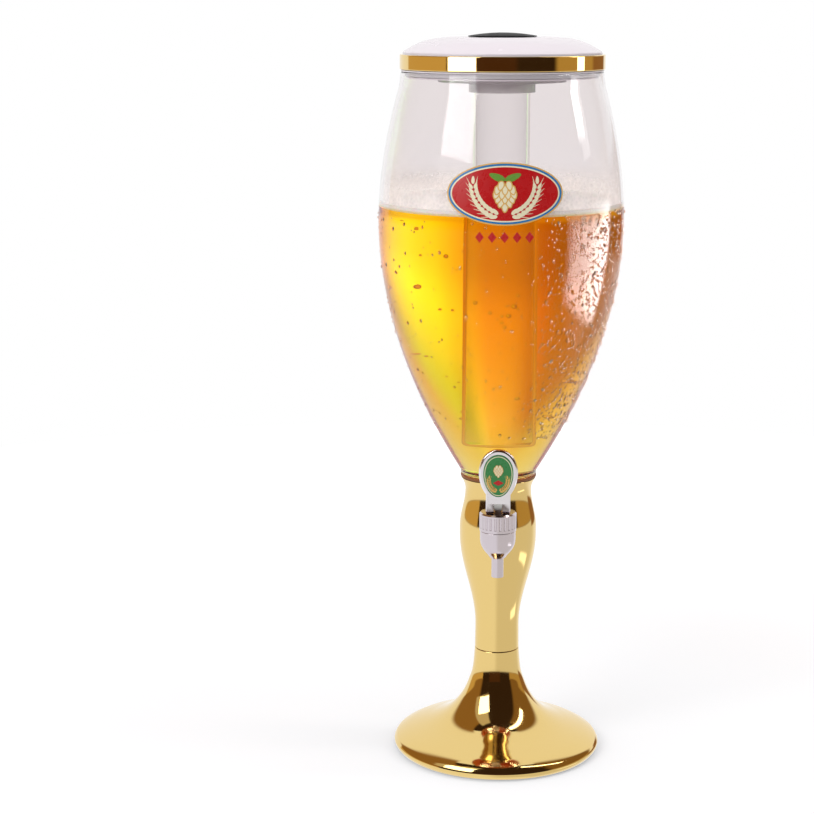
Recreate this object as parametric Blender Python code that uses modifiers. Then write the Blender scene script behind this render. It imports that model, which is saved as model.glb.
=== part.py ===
"""A free-standing drink tower shaped like a tall goblet, with a tap on its stem.

The clear bowl stands on a gold stem and foot.  A white lid with a gold band closes the bowl and carries a
long tube for ice, which a black cap closes.  A small silver tap on the stem lets the drink out: its lever
tips forward, its heel bears on the bonnet and draws the valve stem up off the seat.

Metres, +Z up, the tap faces -Y, the origin is on the table under the middle of the foot.
"""
import math

import bmesh
import bpy
from mathutils import Matrix, Vector

# Fits and facets
MM = 0.001
GAP = 0.3 * MM                    # between pieces that touch
CUT = 5.0 * MM                    # overrun of every cutter past the wall it cuts
WIDE_STEPS = 32                   # facets round the bowl, foot, stem and lid
SMALL_STEPS = 20                  # facets round the tap, tube, pads and screws

# Foot
PAD_HEIGHT = 1.6 * MM
PAD_RADIUS = 6.0 * MM
PAD_CIRCLE = 55.0 * MM            # radius of the circle of pads
FOOT_LIFT = 0.8 * MM              # rim above the table
FOOT_RADIUS = 72.6 * MM
FOOT_TOP_RADIUS = 15.5 * MM
FOOT_HEIGHT = 72.2 * MM
FOOT_WALL = 2.5 * MM
FOOT_RIM_WIDTH = 6.0 * MM
FOOT_RIM_DEPTH = 3.6 * MM         # straight inside of the rim, round the cover
SPIGOT_HEIGHT = 14.0 * MM
SPIGOT_WALL = 2.2 * MM
SPIGOT_ROOT = 5.0 * MM            # solid neck under the spigot
COVER_THICKNESS = 2.4 * MM
SCREW_CIRCLE = 52.0 * MM
SCREW_RADIUS = 1.2 * MM
SCREW_HEAD_RADIUS = 2.8 * MM
SCREW_HEAD_HEIGHT = 1.1 * MM
SCREW_BITE = 5.0 * MM             # length in the boss
BOSS_RADIUS = 2.8 * MM
BALLAST_RADIUS = 42.0 * MM
BALLAST_BORE = 8.0 * MM
BALLAST_HEIGHT = 6.0 * MM
FASTENER_COUNT = 4
# (height, radius): shares of the foot's height, and of the way from its top radius to its rim radius
FOOT_OUTLINE_SHARES = ((1.0, 0.0), (0.786, 0.025), (0.66, 0.072), (0.534, 0.14), (0.417, 0.243),
                       (0.322, 0.377), (0.252, 0.541), (0.204, 0.702), (0.162, 0.842), (0.115, 0.951),
                       (0.085, 0.985), (0.056, 1.0), (0.028, 0.99), (0.0, 0.961))
FOOT_FLARE_SHARE = 0.162          # the part of the outline above this height share is followed inside

# Stem
STEM_ABOVE_TAP = 34.8 * MM        # stem's lip above the tap's axis
STEM_WALL = 2.2 * MM
STEM_THROAT_RADIUS = 15.3 * MM
STEM_BULGE_RADIUS = 26.8 * MM
STEM_WAIST_RADIUS = 23.0 * MM
STEM_LIP_RADIUS = 26.0 * MM
THROAT_HEIGHT = 16.7 * MM         # straight part at the stem's bottom
BULGE_LOW_DROP = 5.5 * MM         # widest part's lower edge, under the tap's axis
BULGE_HIGH_DROP = 1.2 * MM        # and its upper edge
WAIST_RISE = 26.1 * MM            # waist above the tap's axis

# Bowl
SEAL_HEIGHT = 2.4 * MM
SHOULDER_RADIUS = 26.3 * MM
SHOULDER_HEIGHT = 2.2 * MM
BELLY_RADIUS = 83.2 * MM
BELLY_RISE = 172.5 * MM           # from the shoulder to the widest place
CROWN_RISE = 91.0 * MM            # from the widest place to the collar
MOUTH_RADIUS = 67.9 * MM
COLLAR_TAPER = 1.1 * MM           # collar's foot outside its mouth
COLLAR_HEIGHT = 9.2 * MM
BOWL_WALL = 2.5 * MM
BELLY_POWER_SHARE = 1.92          # roundness of the belly's curve
CROWN_POWER_SHARE = 1.85
NECK_CLEARANCE = 0.4 * MM         # neck inside the stem's waist
NECK_BELOW_TAP = 21.0 * MM        # neck's end under the tap's axis
BEER_DEPTH = 186.0 * MM           # liquid above the bowl's shoulder
BEER_ABOVE_NUT = 7.2 * MM         # liquid's lower end above the tap's nut
FOAM_HEIGHT = 3.0 * MM

# Lid
LID_WALL = 2.2 * MM
LID_LIP_HEIGHT = 1.0 * MM
BAND_HEIGHT = 9.8 * MM
BAND_THICKNESS = 1.8 * MM
BAND_PROUD = 0.8 * MM             # band outside the bowl's mouth
DOME_RISE = 10.5 * MM
DOME_EDGE_SHARE = 0.12            # the part of the rise that is the upright edge
DOME_POWER_SHARE = 2.1
PLATEAU_RADIUS = 38.6 * MM
PLATEAU_STEP = 0.4 * MM
PAN_RIM_HEIGHT = 3.0 * MM         # pan's rim inside the lid's skirt
PAN_WALL = 2.4 * MM
PAN_LIP = 1.0 * MM
SEAL_GROOVE_HEIGHT = 3.2 * MM
SEAL_GROOVE_DEPTH = 1.3 * MM
HUB_WALL = 2.4 * MM
FLANGE_RADIUS = 43.0 * MM
FLANGE_THICKNESS = 2.4 * MM
COLLAR_WALL = 3.2 * MM            # collar round the ice tube
COLLAR_DROP = 7.1 * MM
GASKET_HEIGHT = 1.2 * MM
GASKET_WIDTH = 2.9 * MM

# Ice tube and cap
TUBE_RADIUS = 18.8 * MM
TUBE_WALL = 1.75 * MM
TUBE_STANDOFF = 23.7 * MM         # closed end above the bowl's shoulder
TUBE_ROUNDING = 3.0 * MM
TUBE_RIM_WIDTH = 1.8 * MM
TUBE_RIM_HEIGHT = 1.8 * MM
CAP_RADIUS = 23.0 * MM
CAP_RISE = 2.7 * MM
CAP_EDGE = 0.5 * MM
PLUG_CLEARANCE = 1.15 * MM        # plug inside the tube
PLUG_LENGTH = 12.0 * MM
PLUG_WALL = 2.9 * MM
ORING_RADIUS = 0.75 * MM          # of the ring's own section
ORING_DROP = 7.2 * MM             # below the lid's top

# Tap
TAP_HEIGHT = 162.5 * MM           # shank's axis above the table
TAP_REACH = 50.0 * MM             # barrel's axis in front of the tower's
BARREL_RADIUS = 12.1 * MM
BARREL_RISE = 9.2 * MM            # barrel's top above the shank's axis
CONE_RISE = 3.5 * MM              # where the cone starts, above the shank's axis
CONE_DROP = 9.7 * MM              # where it ends, below that axis
SPOUT_RADIUS = 4.1 * MM
SPOUT_LENGTH = 13.8 * MM
SPOUT_BORE = 2.6 * MM
BARREL_WALL = 2.2 * MM
LEDGE_WIDTH = 1.7 * MM
LEDGE_RISE = 4.5 * MM
SEAT_RADIUS = 5.0 * MM
SEAT_DROP = 5.0 * MM
CONE_OUTLINE_SHARES = ((0.0, 1.0), (0.3, 0.95), (0.6, 0.79), (0.85, 0.57), (1.0, 0.45))
SHANK_RADIUS = 5.5 * MM
SHANK_BORE = 3.2 * MM
SHANK_BOSS_RADIUS = 7.6 * MM
SHANK_FLANGE_RADIUS = 9.0 * MM
SHANK_FLANGE_THICKNESS = 1.8 * MM
SHANK_END = 1.2 * MM              # shank past its nut
WASHER_THICKNESS = 2.5 * MM
NUT_RADIUS = 8.6 * MM
NUT_HEIGHT = 3.6 * MM
BONNET_RADIUS = 12.5 * MM
BONNET_HEIGHT = 12.5 * MM
BONNET_BEVEL = 1.0 * MM
BONNET_HOLLOW = 7.4 * MM
BONNET_ROOF = 3.0 * MM
CUP_FLANGE = 1.2 * MM
CUP_RADIUS = 4.6 * MM
CUP_WALL = 1.7 * MM
CUP_FLOOR = 2.2 * MM
STEM_KNOB_RADIUS = 2.5 * MM
STEM_KNOB_HEIGHT = 1.5 * MM
STEM_ROD_RADIUS = 1.9 * MM
STEM_SQUARE = 4.0 * MM            # side of the square part, which keeps the lever facing forward
STEM_SQUARE_DROP = 2.0 * MM       # square part below the bonnet's roof
STEM_HEAD_WIDTH = 5.4 * MM
STEM_HEAD_SIZE = 4.4 * MM
PIN_RADIUS = 1.0 * MM
HEEL_DROP = 3.2 * MM              # lever's foot below its pin when shut
HEEL_ADVANCE = 4.58 * MM          # lift for each radian of tilt, and the heel's reach in front of the pin
LEVER_TILT = math.radians(50.0)
HEEL_STEPS = 5
LEVER_WIDTH = 16.4 * MM
LEVER_THICKNESS = 4.4 * MM
LEVER_FACE = 8.0 * MM             # front of the plate, in front of the pin
LEVER_BACK = 3.4 * MM             # back of the neck, behind the pin
SLOT_CLEARANCE = 0.6 * MM
PLATE_HALF_WIDTH = 13.0 * MM
PLATE_HALF_HEIGHT = 17.8 * MM
PLATE_RISE = 23.0 * MM            # plate's middle above the pin
PLATE_ROUNDING = 1.2 * MM
EGG_SHARE = 0.1                   # how much fuller the plate and the badge are above their middles
EGG_STEPS = 28
BADGE_HALF_WIDTH = 10.0 * MM
BADGE_HALF_HEIGHT = 14.2 * MM
BADGE_THICKNESS = 1.3 * MM
BADGE_RECESS = 0.8 * MM

# Heights and radii that follow from the sizes above
FOOT_TOP = FOOT_LIFT + FOOT_HEIGHT
STEM_BOTTOM = FOOT_TOP + GAP
THROAT = STEM_BOTTOM + THROAT_HEIGHT
BULGE_LOW = TAP_HEIGHT - BULGE_LOW_DROP
BULGE_HIGH = TAP_HEIGHT - BULGE_HIGH_DROP
WAIST = TAP_HEIGHT + WAIST_RISE
STEM_TOP = TAP_HEIGHT + STEM_ABOVE_TAP
SEAL_BOTTOM = STEM_TOP + GAP
BOWL_BOTTOM = SEAL_BOTTOM + SEAL_HEIGHT + GAP
BELLY_BOTTOM = BOWL_BOTTOM + SHOULDER_HEIGHT
BELLY_WIDEST = BELLY_BOTTOM + BELLY_RISE
COLLAR_BOTTOM = BELLY_WIDEST + CROWN_RISE
COLLAR_RADIUS = MOUTH_RADIUS + COLLAR_TAPER
MOUTH = COLLAR_BOTTOM + COLLAR_HEIGHT
NECK_RADIUS = STEM_WAIST_RADIUS - STEM_WALL - NECK_CLEARANCE
NECK_BORE = NECK_RADIUS - BOWL_WALL
NECK_BOTTOM = TAP_HEIGHT - NECK_BELOW_TAP
LID_BOTTOM = MOUTH + GAP
BAND_BOTTOM = LID_BOTTOM + LID_LIP_HEIGHT + GAP
BAND_TOP = BAND_BOTTOM + BAND_HEIGHT
BAND_RADIUS = MOUTH_RADIUS + BAND_PROUD
SKIRT_RADIUS = BAND_RADIUS - BAND_THICKNESS - GAP
SKIRT_BORE = SKIRT_RADIUS - LID_WALL
DOME_BOTTOM = BAND_TOP + GAP
LID_TOP = DOME_BOTTOM + DOME_RISE + PLATEAU_STEP
LID_ROOF = LID_TOP - LID_WALL - PLATEAU_STEP
TUBE_BORE = TUBE_RADIUS - TUBE_WALL
TUBE_TOP = LID_ROOF - GAP
TUBE_BOTTOM = BELLY_BOTTOM + TUBE_STANDOFF
HUB_TOP = TUBE_TOP - TUBE_RIM_HEIGHT - GAP
GROOVE_BOTTOM = MOUTH - SEAL_GROOVE_HEIGHT
PAN_BOTTOM = GROOVE_BOTTOM - PAN_LIP
FLANGE_TOP = PAN_BOTTOM - GAP
FLANGE_BOTTOM = FLANGE_TOP - FLANGE_THICKNESS
BEER_TOP = BOWL_BOTTOM + BEER_DEPTH
BEER_BOTTOM = TAP_HEIGHT + NUT_RADIUS + BEER_ABOVE_NUT
TAP_TOP = TAP_HEIGHT + BARREL_RISE
BONNET_BOTTOM = TAP_TOP + GAP
BONNET_TOP = BONNET_BOTTOM + BONNET_HEIGHT
LEDGE = TAP_HEIGHT + LEDGE_RISE
SEAT = TAP_HEIGHT - SEAT_DROP
CUP_TOP = LEDGE + GAP + CUP_FLANGE
PIN_HEIGHT = BONNET_TOP + GAP + HEEL_DROP
PIN_PLACE = Vector((0.0, -TAP_REACH, PIN_HEIGHT))
COVER_BOTTOM = FOOT_LIFT + GAP
COVER_TOP = COVER_BOTTOM + COVER_THICKNESS

FRAME = Matrix.Identity(4)
ALONG_Y = Matrix.Rotation(-math.pi / 2, 4, "X")        # turns a shape's +Z to +Y
FACING = Matrix(((1, 0, 0, 0), (0, 0, -1, 0), (0, 1, 0, 0), (0, 0, 0, 1)))     # drawn from the front
FROM_SIDE = Matrix(((0, 0, -1, 0), (-1, 0, 0, 0), (0, 1, 0, 0), (0, 0, 0, 1)))  # drawn from the side

# Finishes: colour, roughness, metallic
FINISHES = {
    "gold": ((0.83, 0.60, 0.24), 0.16, 1.0),
    "silver": ((0.80, 0.78, 0.82), 0.18, 1.0),
    "steel": ((0.62, 0.62, 0.60), 0.35, 1.0),
    "iron": ((0.16, 0.16, 0.17), 0.6, 1.0),
    "clear": ((0.93, 0.93, 0.95), 0.05, 0.0),
    "beer": ((0.93, 0.62, 0.08), 0.08, 0.0),
    "foam": ((0.97, 0.95, 0.90), 0.7, 0.0),
    "white": ((0.90, 0.88, 0.91), 0.28, 0.0),
    "black": ((0.03, 0.03, 0.035), 0.3, 0.0),
    "rubber": ((0.05, 0.05, 0.05), 0.8, 0.0),
    "silicone": ((0.85, 0.84, 0.82), 0.55, 0.0),
    "amber_seal": ((0.50, 0.24, 0.07), 0.5, 0.0),
    "green": ((0.06, 0.28, 0.09), 0.35, 0.0),
}


def clear_scene():
    """Remove every object that the file opens with."""
    for thing in list(bpy.data.objects):
        bpy.data.objects.remove(thing, do_unlink=True)


def add_collection(name, hidden=False):
    group = bpy.data.collections.new(name)
    bpy.context.scene.collection.children.link(group)
    group.hide_render = hidden
    return group


def finish_material(node, finish):
    """Give a node its own Principled material."""
    colour, roughness, metallic = FINISHES[finish]
    material = bpy.data.materials.new(node + "_" + finish)
    material.use_nodes = True
    shader = material.node_tree.nodes["Principled BSDF"]
    shader.inputs["Base Color"].default_value = (*colour, 1.0)
    shader.inputs["Roughness"].default_value = roughness
    shader.inputs["Metallic"].default_value = metallic
    return material


def add_object(name, mesh, finish=None):
    """Link a mesh as a part when it has a finish, and as a cutter when it has none."""
    thing = bpy.data.objects.new(name, mesh)
    if finish is None:
        CUTTERS.objects.link(thing)
        thing.hide_render = True
        thing.display_type = "WIRE"
    else:
        PARTS.objects.link(thing)
        mesh.materials.append(finish_material(name, finish))
    return thing


def turned(name, profile, finish=None, steps=SMALL_STEPS, at=(0.0, 0.0, 0.0)):
    """Turn a profile of (radius, height) about Z.

    It runs down the outer side and back up the inner side.  It closes on itself unless both ends lie on
    the axis.
    """
    count = len(profile)
    on_axis = profile[0][0] == 0 and profile[-1][0] == 0
    edges = [(i, i + 1) for i in range(count - 1)]
    if not on_axis:
        edges.append((count - 1, 0))
    mesh = bpy.data.meshes.new(name)
    mesh.from_pydata([(r, 0.0, z) for r, z in profile], edges, [])
    thing = add_object(name, mesh, finish)
    screw = thing.modifiers.new("turn", "SCREW")
    screw.axis = "Z"
    screw.steps = steps
    screw.render_steps = steps
    screw.use_merge_vertices = True
    screw.merge_threshold = 0.01 * MM
    screw.use_smooth_shade = True
    thing.location = at
    return thing


def rod(name, radius, start, end, finish=None, sides=SMALL_STEPS, turn=FRAME, at=(0.0, 0.0, 0.0)):
    """A cylinder from start to end along Z, turned and then placed."""
    shape = bmesh.new()
    bmesh.ops.create_cone(shape, cap_ends=True, segments=sides, radius1=radius, radius2=radius,
                          depth=end - start)
    mesh = bpy.data.meshes.new(name)
    shape.to_mesh(mesh)
    shape.free()
    mesh.transform(Matrix.Translation(at) @ turn @ Matrix.Translation((0.0, 0.0, (start + end) / 2)))
    mesh.shade_smooth()
    mesh.set_sharp_from_angle(angle=math.radians(35.0))
    return add_object(name, mesh, finish)


def block(name, low, high, finish=None):
    """A box between two corners."""
    shape = bmesh.new()
    bmesh.ops.create_cube(shape, size=1.0)
    mesh = bpy.data.meshes.new(name)
    shape.to_mesh(mesh)
    shape.free()
    low, high = Vector(low), Vector(high)
    mesh.transform(Matrix.Translation((low + high) / 2) @ Matrix.Diagonal((*(high - low), 1.0)))
    return add_object(name, mesh, finish)


def flat_shape(name, outline, thickness, turn, at, finish=None):
    """A flat outline of the given thickness, drawn in its own plane, turned and placed."""
    curve = bpy.data.curves.new(name, "CURVE")
    curve.dimensions = "2D"
    curve.fill_mode = "BOTH"
    curve.extrude = thickness / 2
    line = curve.splines.new("POLY")
    line.points.add(len(outline) - 1)
    for point, (x, y) in zip(line.points, outline):
        point.co = (x, y, 0.0, 1.0)
    line.use_cyclic_u = True
    drawn = bpy.data.objects.new(name + "_outline", curve)
    CUTTERS.objects.link(drawn)
    bpy.context.view_layer.update()
    mesh = bpy.data.meshes.new_from_object(drawn.evaluated_get(bpy.context.evaluated_depsgraph_get()))
    bpy.data.objects.remove(drawn, do_unlink=True)
    bpy.data.curves.remove(curve)
    welded = bmesh.new()
    welded.from_mesh(mesh)
    bmesh.ops.remove_doubles(welded, verts=welded.verts, dist=0.01 * MM)
    bmesh.ops.recalc_face_normals(welded, faces=welded.faces)
    welded.to_mesh(mesh)
    welded.free()
    mesh.transform(Matrix.Translation(at) @ turn)
    mesh.name = name
    return add_object(name, mesh, finish)


def combine(thing, other, operation):
    """Add a Boolean modifier: DIFFERENCE cuts, UNION joins, INTERSECT trims."""
    boolean = thing.modifiers.new(operation.lower() + "_" + other.name, "BOOLEAN")
    boolean.operation = operation
    boolean.solver = "EXACT"
    boolean.object = other


def cut(thing, *others):
    for other in others:
        combine(thing, other, "DIFFERENCE")


def join(thing, *others):
    for other in others:
        combine(thing, other, "UNION")


def bevel(thing, width, segments=2):
    edge = thing.modifiers.new("rounded_edges", "BEVEL")
    edge.width = width
    edge.segments = segments
    edge.limit_method = "ANGLE"
    edge.angle_limit = math.radians(40.0)


def ease(share):
    """Rise smoothly from 0 to 1."""
    return (1.0 - math.cos(math.pi * share)) / 2


def between(low, high, share):
    return low + (high - low) * share


def offset_inwards(points, wall):
    """Move a line that runs down an outer side by one wall towards the axis."""
    moved = []
    for i, (r, z) in enumerate(points):
        before, after = points[max(i - 1, 0)], points[min(i + 1, len(points) - 1)]
        along = Vector((after[0] - before[0], after[1] - before[1])).normalized()
        moved.append((r + along.y * wall, z - along.x * wall))
    return moved


def circle_places(radius, count, first_angle):
    """Places evenly round the tower's axis."""
    angles = (first_angle + math.tau * i / count for i in range(count))
    return [(radius * math.cos(angle), radius * math.sin(angle)) for angle in angles]


# Outlines shared by pieces that meet


def foot_outline():
    """Outer side of the foot, from its top down to its rim."""
    spread = FOOT_RADIUS - FOOT_TOP_RADIUS
    return [(FOOT_TOP_RADIUS + spread * across, FOOT_LIFT + FOOT_HEIGHT * up)
            for up, across in FOOT_OUTLINE_SHARES]


def stem_radius(height):
    """Outer radius of the stem at a height: a throat, a bulge behind the tap, a waist and a lip."""
    if height <= THROAT:
        return between(FOOT_TOP_RADIUS, STEM_THROAT_RADIUS, (height - STEM_BOTTOM) / THROAT_HEIGHT)
    if height <= BULGE_LOW:
        part = (height - THROAT) / (BULGE_LOW - THROAT)
        return between(STEM_THROAT_RADIUS, STEM_BULGE_RADIUS, ease(part))
    if height <= BULGE_HIGH:
        return STEM_BULGE_RADIUS
    if height <= WAIST:
        part = (height - BULGE_HIGH) / (WAIST - BULGE_HIGH)
        return between(STEM_BULGE_RADIUS, STEM_WAIST_RADIUS, ease(part))
    return between(STEM_WAIST_RADIUS, STEM_LIP_RADIUS, (height - WAIST) / (STEM_TOP - WAIST))


def stem_outline(extra=0.0):
    """Outer side of the stem from its lip down, with a few more steps where it curves most."""
    heights = [STEM_TOP, between(WAIST, STEM_TOP, 0.5), WAIST]
    heights += [between(WAIST, BULGE_HIGH, i / 4) for i in range(1, 5)]
    heights += [between(BULGE_LOW, THROAT, i / 7) for i in range(8)]
    heights.append(STEM_BOTTOM)
    return [(stem_radius(height) + extra, height) for height in heights]


def bowl_radius(height):
    """Outer radius of the bowl above its shoulder."""
    if height <= BELLY_WIDEST:
        share = min((BELLY_WIDEST - height) / BELLY_RISE, 1.0)
        return between(BELLY_RADIUS, SHOULDER_RADIUS, share ** BELLY_POWER_SHARE)
    if height < COLLAR_BOTTOM:
        share = (height - BELLY_WIDEST) / CROWN_RISE
        return between(BELLY_RADIUS, COLLAR_RADIUS, share ** CROWN_POWER_SHARE)
    return between(COLLAR_RADIUS, MOUTH_RADIUS, (height - COLLAR_BOTTOM) / COLLAR_HEIGHT)


def bowl_outline():
    """Outer side of the bowl from its mouth down to its shoulder."""
    heights = [MOUTH]
    heights += [COLLAR_BOTTOM - CROWN_RISE * i / 5 for i in range(5)]
    heights += [BELLY_WIDEST - BELLY_RISE * i / 9 for i in range(10)]
    return [(bowl_radius(height), height) for height in heights]


def bowl_inside():
    """Inner side of the bowl, from its mouth down to its shoulder."""
    inner = offset_inwards(bowl_outline(), BOWL_WALL)
    inner[0] = (MOUTH_RADIUS - BOWL_WALL, MOUTH)
    return inner


def liquid_side(top):
    """The bowl's inner side, less the gap, below a level."""
    inner = [(r - GAP, z) for r, z in bowl_inside()]
    for i in range(len(inner) - 1):
        (r_up, z_up), (r_low, z_low) = inner[i], inner[i + 1]
        if z_low < top <= z_up:
            share = (top - z_low) / (z_up - z_low)
            return [(between(r_low, r_up, share), top)] + inner[i + 1:]
    return inner


def egg(half_width, half_height, steps=EGG_STEPS):
    """An oval, fuller above its middle."""
    angles = [math.tau * i / steps for i in range(steps)]
    return [(half_width * math.sin(a) * (1.0 + EGG_SHARE * math.cos(a)), half_height * math.cos(a))
            for a in angles]


# The foot


def make_foot():
    outer = foot_outline()
    flare = [point for point, (up, _) in zip(outer, FOOT_OUTLINE_SHARES) if up >= FOOT_FLARE_SHARE]
    spigot_radius = stem_radius(STEM_BOTTOM) - STEM_WALL - GAP
    spigot_bore = spigot_radius - SPIGOT_WALL
    spigot_top = FOOT_TOP + SPIGOT_HEIGHT
    opening = FOOT_RADIUS - FOOT_RIM_WIDTH
    root = FOOT_TOP - SPIGOT_ROOT
    inner = [(r, z) for r, z in offset_inwards(flare, FOOT_WALL)
             if z < root and spigot_bore < r < opening]
    profile = [(spigot_radius, spigot_top), (spigot_radius, FOOT_TOP)] + outer
    profile += [(opening, FOOT_LIFT), (opening, FOOT_LIFT + FOOT_RIM_DEPTH)]
    profile += list(reversed(inner)) + [(spigot_bore, root), (spigot_bore, spigot_top)]
    foot = turned("foot", profile, "gold", WIDE_STEPS)

    screw_places = circle_places(SCREW_CIRCLE, FASTENER_COUNT, 0.0)
    roof = foot_roof(SCREW_CIRCLE, flare)
    boss_bottom = COVER_TOP + GAP
    for i, (x, y) in enumerate(screw_places, 1):
        boss = rod(f"boss_{i}", BOSS_RADIUS, boss_bottom, roof - FOOT_WALL / 2, at=(x, y, 0.0))
        join(foot, boss)
    for i, (x, y) in enumerate(screw_places, 1):
        hole = rod(f"boss_hole_{i}", SCREW_RADIUS + GAP, COVER_BOTTOM, boss_bottom + SCREW_BITE + GAP,
                   at=(x, y, 0.0), sides=SMALL_STEPS // 2)
        cut(foot, hole)


def foot_roof(radius, flare):
    """Height of the foot's outer side at a radius."""
    for (r_in, z_in), (r_out, z_out) in zip(flare, flare[1:]):
        if r_in <= radius <= r_out:
            return between(z_in, z_out, (radius - r_in) / (r_out - r_in))
    return flare[-1][1]


def make_underside():
    """Cover, screws, pads and the ballast that keeps the full tower upright."""
    opening = FOOT_RADIUS - FOOT_RIM_WIDTH
    cover = rod("foot_cover", opening - GAP, COVER_BOTTOM, COVER_TOP, "black", sides=WIDE_STEPS)
    sink = COVER_BOTTOM + SCREW_HEAD_HEIGHT + GAP
    shank_top = COVER_TOP + GAP + SCREW_BITE
    for i, (x, y) in enumerate(circle_places(SCREW_CIRCLE, FASTENER_COUNT, 0.0), 1):
        cut(cover, rod(f"screw_way_{i}", SCREW_RADIUS + GAP, COVER_BOTTOM - CUT, COVER_TOP + CUT,
                       at=(x, y, 0.0), sides=SMALL_STEPS // 2))
        cut(cover, rod(f"screw_sink_{i}", SCREW_HEAD_RADIUS + GAP, COVER_BOTTOM - CUT, sink,
                       at=(x, y, 0.0), sides=SMALL_STEPS // 2))
        head_top = COVER_BOTTOM + SCREW_HEAD_HEIGHT
        turned(f"foot_screw_{i}",
               [(0.0, shank_top), (SCREW_RADIUS / 2, shank_top), (SCREW_RADIUS, shank_top - SCREW_RADIUS),
                (SCREW_RADIUS, head_top), (SCREW_HEAD_RADIUS, head_top), (SCREW_HEAD_RADIUS, COVER_BOTTOM),
                (0.0, COVER_BOTTOM)],
               "steel", SMALL_STEPS // 2, (x, y, 0.0))
    pocket_roof = PAD_HEIGHT + GAP
    for i, (x, y) in enumerate(circle_places(PAD_CIRCLE, FASTENER_COUNT, math.pi / 4), 1):
        cut(cover, rod(f"pad_pocket_{i}", PAD_RADIUS + GAP, COVER_BOTTOM - CUT, pocket_roof,
                       at=(x, y, 0.0)))
        rod(f"foot_pad_{i}", PAD_RADIUS, 0.0, PAD_HEIGHT, "rubber", at=(x, y, 0.0))
    ballast_bottom = COVER_TOP + GAP
    turned("ballast_ring",
           [(BALLAST_RADIUS, ballast_bottom + BALLAST_HEIGHT), (BALLAST_RADIUS, ballast_bottom),
            (BALLAST_BORE, ballast_bottom), (BALLAST_BORE, ballast_bottom + BALLAST_HEIGHT)],
           "iron", WIDE_STEPS)


# The stem and the bowl


def make_stem():
    outer = stem_outline()
    inner = [(r - STEM_WALL, z) for r, z in reversed(outer)]
    stem = turned("stem", outer + inner, "gold", WIDE_STEPS)
    cut(stem, rod("stem_tap_hole", SHANK_RADIUS + GAP, -TAP_REACH, 0.0, turn=ALONG_Y,
                  at=(0.0, 0.0, TAP_HEIGHT)))


def make_bowl():
    shoulder_floor = BOWL_BOTTOM + BOWL_WALL
    neck_floor = NECK_BOTTOM + BOWL_WALL
    outer = bowl_outline() + [(SHOULDER_RADIUS, BOWL_BOTTOM), (NECK_RADIUS, BOWL_BOTTOM),
                              (NECK_RADIUS, NECK_BOTTOM), (0.0, NECK_BOTTOM)]
    inner = [(r, z) for r, z in bowl_inside() if z > shoulder_floor + GAP and r > NECK_BORE]
    inner += [(NECK_BORE, shoulder_floor), (NECK_BORE, neck_floor), (0.0, neck_floor)]
    bowl = turned("bowl", list(reversed(inner)) + outer, "clear", WIDE_STEPS)
    cut(bowl, rod("neck_tap_hole", SHANK_RADIUS + GAP, -TAP_REACH, 0.0, turn=ALONG_Y,
                  at=(0.0, 0.0, TAP_HEIGHT)))
    turned("neck_seal",
           [(SHOULDER_RADIUS, SEAL_BOTTOM + SEAL_HEIGHT), (SHOULDER_RADIUS, SEAL_BOTTOM),
            (NECK_RADIUS + GAP, SEAL_BOTTOM), (NECK_RADIUS + GAP, SEAL_BOTTOM + SEAL_HEIGHT)],
           "amber_seal", WIDE_STEPS)


def make_drink():
    """The liquid stands as a solid that fills the bowl round the ice tube, under a thin foam."""
    hole = TUBE_RADIUS + GAP
    tube_end = TUBE_BOTTOM - GAP
    leg = NECK_BORE - GAP
    shoulder_floor = BOWL_BOTTOM + BOWL_WALL
    side = [(r, z) for r, z in liquid_side(BEER_TOP) if z > shoulder_floor + 2 * GAP and r > leg]
    profile = [(hole, BEER_TOP)] + side
    profile += [(leg, shoulder_floor + 2 * GAP), (leg, BEER_BOTTOM), (0.0, BEER_BOTTOM)]
    profile = [(0.0, tube_end), (hole, tube_end)] + profile
    turned("beer", profile, "beer", WIDE_STEPS)
    foam_bottom = BEER_TOP + GAP
    foam_top = foam_bottom + FOAM_HEIGHT
    edge = liquid_side(foam_top)[0][0]
    turned("foam_head", [(edge, foam_top), (edge, foam_bottom), (hole, foam_bottom), (hole, foam_top)],
           "foam", WIDE_STEPS)


# The lid, the ice tube and its cap


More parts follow.
